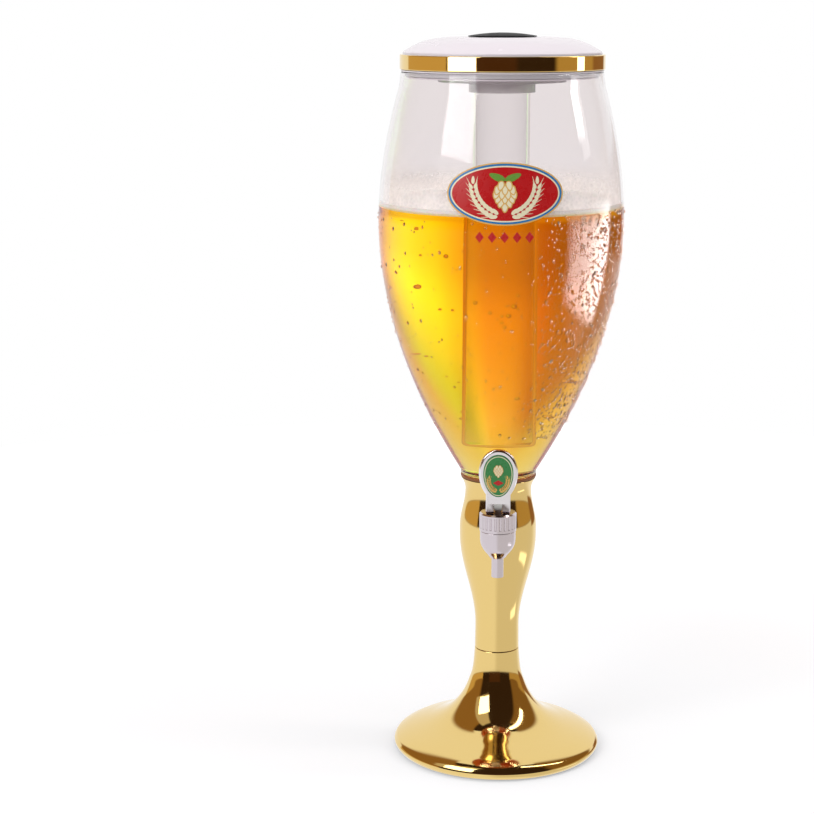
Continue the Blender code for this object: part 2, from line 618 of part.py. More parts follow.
def make_lid():
    lip_top = LID_BOTTOM + LID_LIP_HEIGHT
    edge_drop = DOME_RISE * DOME_EDGE_SHARE
    spread = SKIRT_RADIUS - PLATEAU_RADIUS
    crown = DOME_BOTTOM + DOME_RISE
    dome = [(PLATEAU_RADIUS + spread * i / 6, crown - (DOME_RISE - edge_drop) * (i / 6) ** DOME_POWER_SHARE)
            for i in range(7)]
    mouth = TUBE_BORE
    outer = [(mouth, LID_TOP), (PLATEAU_RADIUS - PLATEAU_STEP, LID_TOP)] + dome
    outer += [(SKIRT_RADIUS, lip_top), (MOUTH_RADIUS, lip_top), (MOUTH_RADIUS, LID_BOTTOM)]
    ceiling = [(min(r, SKIRT_BORE), z - LID_WALL) for r, z in dome[::2]]
    inner = [(SKIRT_BORE, LID_BOTTOM)] + list(reversed(ceiling)) + [(mouth, LID_ROOF)]
    turned("lid_dome", outer + inner, "white", WIDE_STEPS)
    band_inside = BAND_RADIUS - BAND_THICKNESS
    turned("lid_band", [(BAND_RADIUS, BAND_TOP), (BAND_RADIUS, BAND_BOTTOM), (band_inside, BAND_BOTTOM),
                        (band_inside, BAND_TOP)], "gold", WIDE_STEPS)

    rim = SKIRT_BORE - GAP
    groove = rim - SEAL_GROOVE_DEPTH
    hub_bore = TUBE_RADIUS + GAP
    hub = hub_bore + HUB_WALL
    floor = PAN_BOTTOM + PAN_WALL
    rim_top = LID_BOTTOM + PAN_RIM_HEIGHT
    rim_inside = groove - PAN_WALL
    turned("lid_pan",
           [(rim, rim_top), (rim, MOUTH), (groove, MOUTH), (groove, GROOVE_BOTTOM), (rim, GROOVE_BOTTOM),
            (rim, PAN_BOTTOM), (hub_bore, PAN_BOTTOM), (hub_bore, HUB_TOP), (hub, HUB_TOP), (hub, floor),
            (rim_inside, floor), (rim_inside, rim_top)],
           "white", WIDE_STEPS)
    seal_outside = MOUTH_RADIUS - BOWL_WALL - GAP
    seal_top, seal_bottom = MOUTH - GAP, GROOVE_BOTTOM + GAP
    turned("lid_seal",
           [(seal_outside, seal_top), (seal_outside, seal_bottom), (groove + GAP, seal_bottom),
            (groove + GAP, seal_top)],
           "silicone", WIDE_STEPS)


def make_ice_tube():
    hub_bore = TUBE_RADIUS + GAP
    collar = hub_bore + COLLAR_WALL
    gasket_floor = FLANGE_TOP - GASKET_HEIGHT - GAP
    gasket_side = hub_bore + GASKET_WIDTH
    turned("tube_flange",
           [(FLANGE_RADIUS, FLANGE_TOP), (FLANGE_RADIUS, FLANGE_BOTTOM), (collar, FLANGE_BOTTOM),
            (collar, FLANGE_BOTTOM - COLLAR_DROP), (hub_bore, FLANGE_BOTTOM - COLLAR_DROP),
            (hub_bore, gasket_floor), (gasket_side + GAP, gasket_floor), (gasket_side + GAP, FLANGE_TOP)],
           "clear", WIDE_STEPS)
    turned("tube_gasket",
           [(gasket_side, FLANGE_TOP), (gasket_side, FLANGE_TOP - GASKET_HEIGHT),
            (hub_bore, FLANGE_TOP - GASKET_HEIGHT), (hub_bore, FLANGE_TOP)],
           "silicone")
    rim = TUBE_RADIUS + TUBE_RIM_WIDTH
    rim_bottom = TUBE_TOP - TUBE_RIM_HEIGHT
    turn = (0.0, math.pi / 4, math.pi / 2)
    round_end = [(TUBE_RADIUS - TUBE_ROUNDING * (1.0 - math.cos(a)),
                  TUBE_BOTTOM + TUBE_ROUNDING * (1.0 - math.sin(a))) for a in turn]
    floor = TUBE_BOTTOM + TUBE_WALL
    turned("ice_tube",
           [(0.0, floor), (TUBE_BORE - TUBE_WALL, floor), (TUBE_BORE, floor + TUBE_WALL),
            (TUBE_BORE, TUBE_TOP), (rim, TUBE_TOP), (rim, rim_bottom), (TUBE_RADIUS, rim_bottom)]
           + round_end + [(0.0, TUBE_BOTTOM)],
           "clear")

    cap_bottom = LID_TOP + GAP
    cap_edge = cap_bottom + CAP_EDGE
    crown = [(CAP_RADIUS * math.sin(a), cap_edge + (CAP_RISE - CAP_EDGE) * math.cos(a))
             for a in (math.pi / 2 * i / 5 for i in range(6))]
    plug = TUBE_BORE - PLUG_CLEARANCE
    plug_bottom = LID_TOP - PLUG_LENGTH
    ring_height = LID_TOP - ORING_DROP
    ring_middle = TUBE_BORE - GAP - ORING_RADIUS
    groove = ring_middle - ORING_RADIUS - GAP
    groove_half = ORING_RADIUS + GAP
    hollow = groove - PLUG_WALL
    turned("ice_cap",
           crown + [(CAP_RADIUS, cap_bottom), (plug, cap_bottom), (plug, ring_height + groove_half),
                    (groove, ring_height + groove_half), (groove, ring_height - groove_half),
                    (plug, ring_height - groove_half), (plug, plug_bottom), (hollow, plug_bottom),
                    (hollow, cap_bottom), (0.0, cap_bottom)],
           "black")
    sides = 8
    section = [(ring_middle + ORING_RADIUS * math.cos(a), ring_height - ORING_RADIUS * math.sin(a))
               for a in (math.tau * i / sides for i in range(sides))]
    turned("cap_oring", section, "rubber")


# The tap


def make_tap_body():
    place = (0.0, -TAP_REACH, 0.0)
    cone_top = TAP_HEIGHT + CONE_RISE
    cone_length = CONE_RISE + CONE_DROP
    cone = [(BARREL_RADIUS * across, cone_top - cone_length * down) for down, across in CONE_OUTLINE_SHARES]
    spout_end = cone[-1][1] - SPOUT_LENGTH
    body = turned("tap_body",
                  [(0.0, TAP_TOP), (BARREL_RADIUS, TAP_TOP)] + cone
                  + [(SPOUT_RADIUS, cone[-1][1]), (SPOUT_RADIUS, spout_end), (0.0, spout_end)],
                  "silver", SMALL_STEPS, place)
    wall_face = -(stem_radius(TAP_HEIGHT) + GAP + WASHER_THICKNESS + GAP)
    shank_back = -(nut_face() - NUT_HEIGHT - SHANK_END)
    shank_place = (0.0, 0.0, TAP_HEIGHT)
    join(body,
         rod("shank_boss", SHANK_BOSS_RADIUS, -TAP_REACH, wall_face, turn=ALONG_Y, at=shank_place),
         rod("shank_flange", SHANK_FLANGE_RADIUS, wall_face - SHANK_FLANGE_THICKNESS, wall_face, turn=ALONG_Y,
             at=shank_place),
         rod("shank", SHANK_RADIUS, -TAP_REACH, shank_back, turn=ALONG_Y, at=shank_place))
    bore = BARREL_RADIUS - BARREL_WALL
    cavity = turned("tap_cavity",
                    [(0.0, TAP_TOP + CUT), (bore, TAP_TOP + CUT), (bore, LEDGE), (bore - LEDGE_WIDTH, LEDGE),
                     (SEAT_RADIUS, SEAT + GAP), (SEAT_RADIUS, SEAT), (SPOUT_BORE, SEAT),
                     (SPOUT_BORE, spout_end - CUT), (0.0, spout_end - CUT)],
                    None, SMALL_STEPS, place)
    cut(body, cavity,
        rod("shank_bore", SHANK_BORE, -TAP_REACH, shank_back + CUT, turn=ALONG_Y, at=shank_place))


def nut_face():
    """How far in front of the tower's axis the nut's front face lies, inside the round neck."""
    return math.sqrt(NECK_BORE ** 2 - NUT_RADIUS ** 2) - 2 * GAP


def make_tap_seals():
    """The washer outside the stem, and the gasket and nut inside the neck, each shaped to its round wall."""
    place = (0.0, 0.0, TAP_HEIGHT)
    outside = -(stem_radius(TAP_HEIGHT) + GAP + WASHER_THICKNESS)
    washer = rod("tap_washer", SHANK_FLANGE_RADIUS, outside, -STEM_BULGE_RADIUS / 2, "rubber", turn=ALONG_Y,
                 at=place)
    profile = stem_outline(GAP)
    cut(washer, turned("stem_clearance", [(0.0, profile[0][1])] + profile + [(0.0, profile[-1][1])],
                       None, WIDE_STEPS),
        rod("washer_hole", SHANK_RADIUS + GAP, -TAP_REACH, 0.0, turn=ALONG_Y, at=place))
    face = nut_face()
    gasket = rod("shank_gasket", NUT_RADIUS, -NECK_BORE, -(face + GAP), "rubber", turn=ALONG_Y, at=place)
    combine(gasket, rod("neck_clearance", NECK_BORE - GAP, NECK_BOTTOM, SEAL_BOTTOM, sides=WIDE_STEPS),
            "INTERSECT")
    cut(gasket, rod("gasket_hole", SHANK_RADIUS + GAP, -TAP_REACH, 0.0, turn=ALONG_Y, at=place))
    nut = rod("shank_nut", NUT_RADIUS, -face, -(face - NUT_HEIGHT), "steel", sides=6, turn=ALONG_Y, at=place)
    cut(nut, rod("nut_hole", SHANK_RADIUS + GAP, -TAP_REACH, 0.0, turn=ALONG_Y, at=place))


def make_valve():
    place = (0.0, -TAP_REACH, 0.0)
    spigot = BARREL_RADIUS - BARREL_WALL - GAP
    spigot_bottom = CUP_TOP + GAP
    roof = BONNET_TOP - BONNET_ROOF
    bonnet = turned("tap_bonnet",
                    [(0.0, BONNET_TOP), (BONNET_RADIUS - BONNET_BEVEL, BONNET_TOP),
                     (BONNET_RADIUS, BONNET_TOP - BONNET_BEVEL), (BONNET_RADIUS, BONNET_BOTTOM),
                     (spigot, BONNET_BOTTOM), (spigot, spigot_bottom), (0.0, spigot_bottom)],
                    "silver", SMALL_STEPS, place)
    hole = STEM_SQUARE / 2 + GAP
    cut(bonnet,
        rod("bonnet_hollow", BONNET_HOLLOW, spigot_bottom - CUT, roof, at=place),
        block("bonnet_hole", (-hole, -TAP_REACH - hole, roof - CUT),
              (hole, -TAP_REACH + hole, BONNET_TOP + CUT)))

    cup_bottom = SEAT + GAP
    bore = CUP_RADIUS - CUP_WALL
    turned("tap_seat_cup",
           [(0.0, cup_bottom + CUP_FLOOR), (bore, cup_bottom + CUP_FLOOR), (bore, CUP_TOP), (spigot, CUP_TOP),
            (spigot, LEDGE + GAP), (CUP_RADIUS, LEDGE + GAP), (CUP_RADIUS, cup_bottom), (0.0, cup_bottom)],
           "silicone", SMALL_STEPS, place)

    knob_bottom = cup_bottom + CUP_FLOOR + GAP
    knob_top = knob_bottom + STEM_KNOB_HEIGHT
    square_bottom = roof - STEM_SQUARE_DROP
    rod_top = square_bottom + STEM_SQUARE_DROP / 2
    stem = turned("valve_stem",
                  [(0.0, rod_top), (STEM_ROD_RADIUS, rod_top), (STEM_ROD_RADIUS, knob_top),
                   (STEM_KNOB_RADIUS, knob_top), (STEM_KNOB_RADIUS, knob_bottom), (0.0, knob_bottom)],
                  "steel", SMALL_STEPS, place)
    half = STEM_SQUARE / 2
    head = STEM_HEAD_SIZE / 2
    join(stem,
         block("stem_square", (-half, -TAP_REACH - half, square_bottom),
               (half, -TAP_REACH + half, PIN_HEIGHT)),
         block("stem_head", (-STEM_HEAD_WIDTH / 2, -TAP_REACH - head, PIN_HEIGHT - head),
               (STEM_HEAD_WIDTH / 2, -TAP_REACH + head, PIN_HEIGHT + head)))
    cut(stem, pin_shape("stem_pin_hole", PIN_RADIUS + GAP, LEVER_WIDTH))


def pin_shape(name, radius, length, finish=None):
    """A rod along X on the lever's pivot."""
    along_x = Matrix.Rotation(math.pi / 2, 4, "Y")
    return rod(name, radius, -length / 2, length / 2, finish, sides=SMALL_STEPS // 2 + 2, turn=along_x,
               at=PIN_PLACE)


def make_lever():
    """The lever: an oval plate on a neck whose two legs straddle the valve stem.

    The heel's curve keeps the distance from the pin to the bonnet growing evenly with the tilt, so the
    stem rises HEEL_ADVANCE for each radian.
    """
    heel = []
    for i in range(HEEL_STEPS + 1):
        tilt = LEVER_TILT * i / HEEL_STEPS
        reach = HEEL_DROP + HEEL_ADVANCE * tilt
        heel.append((reach * math.sin(tilt) + HEEL_ADVANCE * math.cos(tilt),
                     -(reach * math.cos(tilt) - HEEL_ADVANCE * math.sin(tilt))))
    plate_back = LEVER_FACE - LEVER_THICKNESS
    slot_top = math.hypot(STEM_HEAD_SIZE, STEM_HEAD_SIZE) / 2 + SLOT_CLEARANCE
    neck_top = slot_top + 2 * LEVER_THICKNESS
    side = [(-LEVER_BACK / 2, -HEEL_DROP)] + heel
    side += [(LEVER_FACE, slot_top), (LEVER_FACE, neck_top), (plate_back, neck_top),
             (between(-LEVER_BACK, plate_back, 0.6), slot_top + LEVER_THICKNESS),
             (-LEVER_BACK, slot_top), (-LEVER_BACK, -HEEL_DROP / 2)]
    lever = flat_shape("tap_lever", side, LEVER_WIDTH, FROM_SIDE, PIN_PLACE, "silver")
    plate_middle = PIN_PLACE + Vector((0.0, -(LEVER_FACE + plate_back) / 2, PLATE_RISE))
    plate = flat_shape("lever_plate", egg(PLATE_HALF_WIDTH, PLATE_HALF_HEIGHT), LEVER_THICKNESS, FACING,
                       plate_middle)
    bevel(plate, PLATE_ROUNDING)
    join(lever, plate)

    slot = STEM_HEAD_WIDTH / 2 + SLOT_CLEARANCE / 2
    cut(lever,
        block("lever_slot", PIN_PLACE + Vector((-slot, -LEVER_FACE - CUT, -HEEL_DROP - CUT)),
              PIN_PLACE + Vector((slot, LEVER_BACK + CUT, slot_top))),
        pin_shape("lever_pin_hole", PIN_RADIUS + GAP, LEVER_WIDTH + CUT))
    pin_shape("lever_pin", PIN_RADIUS, LEVER_WIDTH, "steel")

    face = PIN_PLACE + Vector((0.0, -LEVER_FACE, PLATE_RISE))
    recess = flat_shape("badge_recess", egg(BADGE_HALF_WIDTH + GAP, BADGE_HALF_HEIGHT + GAP),
                        2 * BADGE_RECESS, FACING, face)
    cut(lever, recess)
    badge_middle = face + Vector((0.0, BADGE_RECESS - GAP - BADGE_THICKNESS / 2, 0.0))
    flat_shape("lever_badge", egg(BADGE_HALF_WIDTH, BADGE_HALF_HEIGHT), BADGE_THICKNESS, FACING,
               badge_middle, "green")


def hang_from(empty_name, place, names):
    """Parent moving pieces to an empty on their joint, without moving them."""
    pivot = bpy.data.objects.new(empty_name, None)
    pivot.location = place
    PARTS.objects.link(pivot)
    for name in names:
        piece = bpy.data.objects[name]
        piece.parent = pivot
        piece.matrix_parent_inverse = Matrix.Translation(place).inverted()


clear_scene()
PARTS = add_collection("drink_tower")
CUTTERS = add_collection("cutters", hidden=True)
make_foot()
make_underside()
make_stem()
make_bowl()
make_drink()
make_lid()
make_ice_tube()
make_tap_body()
make_tap_seals()
make_valve()
make_lever()
hang_from("lever_pivot", PIN_PLACE, ("tap_lever", "lever_pin", "lever_badge"))
hang_from("valve_guide", (0.0, -TAP_REACH, BONNET_TOP), ("valve_stem",))
hang_from("lid_seat", (0.0, 0.0, MOUTH), ("lid_dome", "lid_band", "lid_pan", "lid_seal", "tube_flange",
                                         "tube_gasket", "ice_tube"))
hang_from("cap_seat", (0.0, 0.0, LID_TOP), ("ice_cap", "cap_oring"))
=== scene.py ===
"""The looks of a goblet-shaped drink tower: gold foot and stem, clear bowl, white lid and a small silver tap.

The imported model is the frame.  Every piece that shows is modelled anew at the size and place of its solid,
finished with its own material, and rides on the body that the solid belongs to.
"""
import math
import random

import bpy
from mathutils import Matrix, Vector


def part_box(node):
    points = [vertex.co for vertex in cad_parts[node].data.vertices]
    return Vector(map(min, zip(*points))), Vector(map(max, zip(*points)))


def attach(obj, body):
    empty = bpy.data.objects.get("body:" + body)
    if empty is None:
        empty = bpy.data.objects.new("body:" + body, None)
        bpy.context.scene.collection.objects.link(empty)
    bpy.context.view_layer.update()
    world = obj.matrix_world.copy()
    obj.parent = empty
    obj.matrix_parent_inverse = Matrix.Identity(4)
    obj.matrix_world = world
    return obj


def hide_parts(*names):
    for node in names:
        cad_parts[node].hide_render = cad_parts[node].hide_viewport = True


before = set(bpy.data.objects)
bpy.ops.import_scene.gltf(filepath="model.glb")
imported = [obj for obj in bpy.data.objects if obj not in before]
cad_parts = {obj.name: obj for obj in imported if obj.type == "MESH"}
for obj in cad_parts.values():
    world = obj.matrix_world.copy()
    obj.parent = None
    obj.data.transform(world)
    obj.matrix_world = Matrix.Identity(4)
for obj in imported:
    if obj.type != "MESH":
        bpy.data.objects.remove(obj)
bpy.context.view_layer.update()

# The foot
# One trumpet-shaped moulding of metallised plastic, bright gold outside, with a thread spigot on its top
# that the stem screws on to.  Its rim rolls under to a straight inside that takes the bottom cover.

MM = 0.001
GAP = 0.3 * MM                    # between pieces that touch, as in the frame
WIDE_FACETS = 160
SMOOTH_ANGLE = math.radians(35.0)
foot_low, foot_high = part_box("foot")
stem_low, stem_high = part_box("stem")
FOOT_TOP = stem_low.z - GAP
FOOT_STEPS = 6                    # of the fair line between two points of the outline
FOOT_WALLED_STEPS = 50            # as far down as the inside follows the outside
FOOT_RADIUS = foot_high.x
FOOT_NECK_RADIUS = 15.5 * MM
FOOT_WALL = 2.5 * MM
RIM_WIDTH = 6.0 * MM
RIM_DEPTH = 3.6 * MM
SPIGOT_RADIUS = 13.0 * MM
SPIGOT_WALL = 2.2 * MM
SPIGOT_ROOT = 5.0 * MM
# (height, radius): shares of the height, and of the way from the neck's radius to the rim's
FOOT_OUTLINE_SHARES = ((1.0, 0.0), (0.786, 0.025), (0.66, 0.072), (0.534, 0.14), (0.417, 0.243),
                       (0.322, 0.377), (0.252, 0.541), (0.204, 0.702), (0.162, 0.842), (0.115, 0.951),
                       (0.085, 0.985), (0.056, 1.0), (0.028, 0.99), (0.0, 0.961))
GOLD = (0.82, 0.60, 0.235)


def pick(piece):
    """Leave this piece alone selected, and active."""
    bpy.ops.object.select_all(action="DESELECT")
    piece.select_set(True)
    bpy.context.view_layer.objects.active = piece


def settle(piece):
    """Join the seams, turn every face outwards and put the piece's place into its mesh."""
    pick(piece)
    bpy.ops.object.transform_apply(location=True, rotation=True, scale=True)
    bpy.ops.object.mode_set(mode="EDIT")
    bpy.ops.mesh.select_all(action="SELECT")
    bpy.ops.mesh.remove_doubles(threshold=0.002 * MM)
    bpy.ops.mesh.normals_make_consistent(inside=False)
    bpy.ops.object.mode_set(mode="OBJECT")
    bpy.ops.object.shade_smooth_by_angle(angle=SMOOTH_ANGLE)


def turn_on_lathe(name, outline, facets=WIDE_FACETS, y=0.0):
    """Spin an outline of (radius, height) about an upright axis that stands at x 0 and this y."""
    bpy.ops.object.select_all(action="DESELECT")
    bpy.ops.mesh.primitive_plane_add(size=MM, location=(outline[0][0], y, outline[0][1]))
    piece = bpy.context.object
    piece.name = piece.data.name = name
    bpy.ops.object.mode_set(mode="EDIT")
    bpy.ops.mesh.select_all(action="SELECT")
    bpy.ops.mesh.merge(type="CENTER")
    for (radius, height), (next_radius, next_height) in zip(outline, outline[1:]):
        step = (next_radius - radius, 0.0, next_height - height)
        bpy.ops.mesh.extrude_region_move(TRANSFORM_OT_translate={"value": step})
    bpy.ops.mesh.select_all(action="SELECT")
    bpy.ops.mesh.spin(steps=facets, angle=math.tau, center=(0.0, y, 0.0), axis=(0.0, 0.0, 1.0))
    bpy.ops.object.mode_set(mode="OBJECT")
    settle(piece)
    return piece


def round_edges(piece, width, segments=3, angle=30.0):
    """Bevel the edges that turn by more than an angle in degrees."""
    pick(piece)
    bevel = piece.modifiers.new("rounding", "BEVEL")
    bevel.width = width
    bevel.segments = segments
    bevel.limit_method = "ANGLE"
    bevel.angle_limit = math.radians(angle)
    bpy.ops.object.modifier_apply(modifier=bevel.name)
    bpy.ops.object.shade_smooth_by_angle(angle=SMOOTH_ANGLE)


def between(low, high, share):
    return low + (high - low) * share


def fair_line(points, steps):
    """A smooth line through points, by Catmull and Rom's rule."""
    line = []
    for i in range(len(points) - 1):
        a, b, c, d = (Vector(points[max(0, min(len(points) - 1, k))]) for k in (i - 1, i, i + 1, i + 2))
        for j in range(steps):
            t = j / steps
            line.append(tuple(0.5 * (2 * b + (c - a) * t + (2 * a - 5 * b + 4 * c - d) * t ** 2
                                     + (3 * b - a - 3 * c + d) * t ** 3)))
    return line + [tuple(points[-1])]


def inner_side(line, wall):
    """The line one wall inside an outer side that runs downwards, from its lower end up."""
    moved = []
    for i, (radius, height) in enumerate(line):
        above, below = line[max(i - 1, 0)], line[min(i + 1, len(line) - 1)]
        along = Vector((below[0] - above[0], below[1] - above[1])).normalized()
        moved.append((radius + along.y * wall, height - along.x * wall))
    return moved[::-1]


def new_effect(name, inputs, output, output_type):
    """A shader node group with its inputs and one output."""
    group = bpy.data.node_groups.new(name, "ShaderNodeTree")
    for socket, value in inputs.items():
        number = group.interface.new_socket(socket, in_out="INPUT", socket_type="NodeSocketFloat")
        number.default_value = value
    group.interface.new_socket(output, in_out="OUTPUT", socket_type=output_type)
    return group, group.nodes.new("NodeGroupInput"), group.nodes.new("NodeGroupOutput")


def add_node(tree, kind, sockets=None, **choices):
    """Add a shader node.  Each socket, by name or number, takes a value or another node's output."""
    node = tree.nodes.new("ShaderNode" + kind)
    for choice, value in choices.items():
        setattr(node, choice, value)
    for socket, value in (sockets or {}).items():
        if isinstance(value, bpy.types.NodeSocket):
            tree.links.new(value, node.inputs[socket])
        else:
            node.inputs[socket].default_value = value
    return node


def make_handling_marks():
    """Roughness that drifts between two values, as fingers and wiping leave a glossy moulding."""
    group, given, result = new_effect("handling_marks", {"Scale": 30.0, "Low": 0.05, "High": 0.12},
                                      "Roughness", "NodeSocketFloat")
    place = add_node(group, "TexCoord")
    cloud = add_node(group, "TexNoise", {"Vector": place.outputs["Object"], "Scale": given.outputs["Scale"],
                                         "Detail": 5.0, "Roughness": 0.6, "Distortion": 0.4})
    spread = add_node(group, "MapRange", {"Value": cloud.outputs["Fac"], "From Min": 0.35, "From Max": 0.68,
                                          "To Min": given.outputs["Low"], "To Max": given.outputs["High"]})
    group.links.new(spread.outputs["Result"], result.inputs["Roughness"])
    return group


def make_relief(name, scale, depth, texture, height, sockets=None):
    """A bump whose height is one output of one texture."""
    group, given, result = new_effect(name, {"Scale": scale, "Depth": depth}, "Normal", "NodeSocketVector")
    place = add_node(group, "TexCoord")
    pattern = add_node(group, texture, {"Vector": place.outputs["Object"], "Scale": given.outputs["Scale"],
                                        **(sockets or {})})
    bump = add_node(group, "Bump", {"Height": pattern.outputs[height], "Distance": given.outputs["Depth"]})
    group.links.new(bump.outputs["Normal"], result.inputs["Normal"])
    return group


HANDLING_MARKS = make_handling_marks()
# the faint waviness that a moulded and plated surface keeps under its gloss
MOULDED_SKIN = make_relief("moulded_skin", 60.0, 0.01 * MM, "TexNoise", "Fac", {"Detail": 2.0})


def new_material(name, colour, roughness, metallic=0.0):
    material = bpy.data.materials.new(name)
    material.use_nodes = True
    shader = material.node_tree.nodes["Principled BSDF"]
    shader.inputs["Base Color"].default_value = (*colour, 1.0)
    shader.inputs["Roughness"].default_value = roughness
    shader.inputs["Metallic"].default_value = metallic
    return material, shader


def add_effect(material, shader, effect, output, **values):
    """Place a shared effect with its own values, and feed the shader's input of the same name."""
    node = material.node_tree.nodes.new("ShaderNodeGroup")
    node.node_tree = effect
    for socket, value in values.items():
        node.inputs[socket].default_value = value
    material.node_tree.links.new(node.outputs[output], shader.inputs[output])


def plated(name, colour, low, high, metallic=1.0):
    """Metallised plastic: a mirror with a faint waviness and a few wiping marks."""
    material, shader = new_material(name, colour, low, metallic)
    add_effect(material, shader, HANDLING_MARKS, "Roughness", Scale=28.0, Low=low, High=high)
    add_effect(material, shader, MOULDED_SKIN, "Normal", Scale=45.0, Depth=0.02 * MM)
    return material


def finish(piece, material, body, slot, *nodes):
    """Give a piece its material, set it on its body and let it stand for its solids."""
    piece.data.materials.clear()
    piece.data.materials.append(material)
    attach(piece, body)
    if nodes:
        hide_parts(*nodes)


gold = plated("gold_plating", GOLD, 0.05, 0.11)
foot_height = FOOT_TOP - foot_low.z
foot_points = [(between(FOOT_NECK_RADIUS, FOOT_RADIUS, out), foot_low.z + foot_height * up)
               for up, out in FOOT_OUTLINE_SHARES]
foot_side = fair_line(foot_points, FOOT_STEPS)
cover_opening = FOOT_RADIUS - RIM_WIDTH
spigot_bore = SPIGOT_RADIUS - SPIGOT_WALL
spigot_root = FOOT_TOP - SPIGOT_ROOT
hollow_side = [(radius, height) for radius, height in inner_side(foot_side[:FOOT_WALLED_STEPS], FOOT_WALL)
               if spigot_bore < radius < cover_opening and height < spigot_root]
foot_outline = [(spigot_bore, foot_high.z), (SPIGOT_RADIUS, foot_high.z), (SPIGOT_RADIUS, FOOT_TOP)]
foot_outline += foot_side + [(cover_opening, foot_low.z), (cover_opening, foot_low.z + RIM_DEPTH)]
foot_outline += hollow_side + [(spigot_bore, spigot_root), (spigot_bore, foot_high.z)]
foot_shell = turn_on_lathe("foot_shell", foot_outline)
round_edges(foot_shell, 0.25 * MM, segments=2)
finish(foot_shell, gold, "root", "gold_plating", "foot")

# The foot's underside
# A flat black cover closes the hollow over the ballast.  Four countersunk steel screws hold it, and four
# rubber pads, stuck on near the rim, carry the tower.

PAD_RADIUS = 6.0 * MM
PAD_DISH = 0.35 * MM
PAD_GRIP_SCALE = 900.0


# fine pits, for rubber, cast iron and matt mouldings
FINE_GRAIN = make_relief("fine_grain", 900.0, 0.04 * MM, "TexVoronoi", "Distance")


def grained(name, colour, low, high, depth, scale=PAD_GRIP_SCALE, metallic=0.0):
    """A matt surface with a fine grain and an uneven sheen."""
    material, shader = new_material(name, colour, low, metallic)
    add_effect(material, shader, HANDLING_MARKS, "Roughness", Scale=70.0, Low=low, High=high)
    add_effect(material, shader, FINE_GRAIN, "Normal", Scale=scale, Depth=depth)
    return material


def dress(node, material):
    """Give a frame piece whose shape is right a better material."""
    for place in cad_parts[node].material_slots:
        place.material = material


rubber = grained("rubber", (0.035, 0.035, 0.036), 0.62, 0.82, 0.05 * MM)
cover_plastic = grained("cover_plastic", (0.025, 0.025, 0.027), 0.40, 0.55, 0.03 * MM)
steel = plated("plain_steel", (0.60, 0.60, 0.59), 0.22, 0.38)
cover_low, cover_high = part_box("foot_cover")
cover_disc = turn_on_lathe("cover_disc", [(0.0, cover_high.z), (cover_high.x, cover_high.z),
                                          (cover_high.x, cover_low.z), (0.0, cover_low.z)])
round_edges(cover_disc, 0.4 * MM)
finish(cover_disc, cover_plastic, "root", "black_plastic", "foot_cover")
for number in range(1, 5):
    pad_low, pad_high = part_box(f"foot_pad_{number}")
    pad_middle = (pad_low + pad_high) / 2
    pad = turn_on_lathe(f"rubber_pad_{number}",
                        [(0.0, pad_high.z), (PAD_RADIUS, pad_high.z), (PAD_RADIUS, pad_low.z),
                         (PAD_RADIUS * 0.7, pad_low.z), (PAD_RADIUS * 0.55, pad_low.z + PAD_DISH),
                         (0.0, pad_low.z + PAD_DISH)], facets=48)
    pad.data.transform(Matrix.Translation((pad_middle.x, pad_middle.y, 0.0)))
    round_edges(pad, 0.3 * MM)
    finish(pad, rubber, "root", "rubber", f"foot_pad_{number}")
    dress(f"foot_screw_{number}", steel)
cast_iron = grained("cast_iron", (0.10, 0.10, 0.105), 0.55, 0.75, 0.2 * MM, scale=350.0, metallic=0.6)
dress("ballast_ring", cast_iron)

# The stem
# A hollow moulding of the same gold plastic: a straight throat, a bulge behind the tap, a waist and a lip
# that carries the bowl.  The tap's shank goes in through a hole in the front of the bulge.

tap_low, tap_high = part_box("tap_body")
THROAT_HEIGHT = 16.7 * MM
THROAT_RADIUS = 15.3 * MM
STEM_ABOVE_TAP = 34.8 * MM
BULGE_LOW_DROP = 5.5 * MM
BULGE_HIGH_DROP = 1.2 * MM
WAIST_RISE = 26.1 * MM
WAIST_RADIUS = 23.0 * MM
LIP_RADIUS = 26.0 * MM
STEM_WALL = 2.2 * MM
SHANK_RADIUS = 5.5 * MM
TAP_HEIGHT = stem_high.z - STEM_ABOVE_TAP
TAP_REACH = 50.0 * MM
bulge_radius = stem_high.x
throat = stem_low.z + THROAT_HEIGHT
bulge_low = TAP_HEIGHT - BULGE_LOW_DROP
bulge_high = TAP_HEIGHT - BULGE_HIGH_DROP
waist = TAP_HEIGHT + WAIST_RISE


def ease(share):
    return (1.0 - math.cos(math.pi * share)) / 2


def stem_radius(height):
    if height <= throat:
        return between(FOOT_NECK_RADIUS, THROAT_RADIUS, (height - stem_low.z) / THROAT_HEIGHT)
    if height <= bulge_low:
        return between(THROAT_RADIUS, bulge_radius, ease((height - throat) / (bulge_low - throat)))
    if height <= bulge_high:
        return bulge_radius
    if height <= waist:
        return between(bulge_radius, WAIST_RADIUS, ease((height - bulge_high) / (waist - bulge_high)))
    return between(WAIST_RADIUS, LIP_RADIUS, ease((height - waist) / (stem_high.z - waist) / 2) * 2)


def combine(piece, others, operation):
    """Cut, join or intersect a piece with others, which are used up."""
    for other in others:
        pick(piece)
        change = piece.modifiers.new("combine", "BOOLEAN")
        change.operation = operation
        change.solver = "EXACT"
        change.object = other
        bpy.ops.object.modifier_apply(modifier=change.name)
        bpy.data.objects.remove(other)
    bpy.ops.object.shade_smooth_by_angle(angle=SMOOTH_ANGLE)


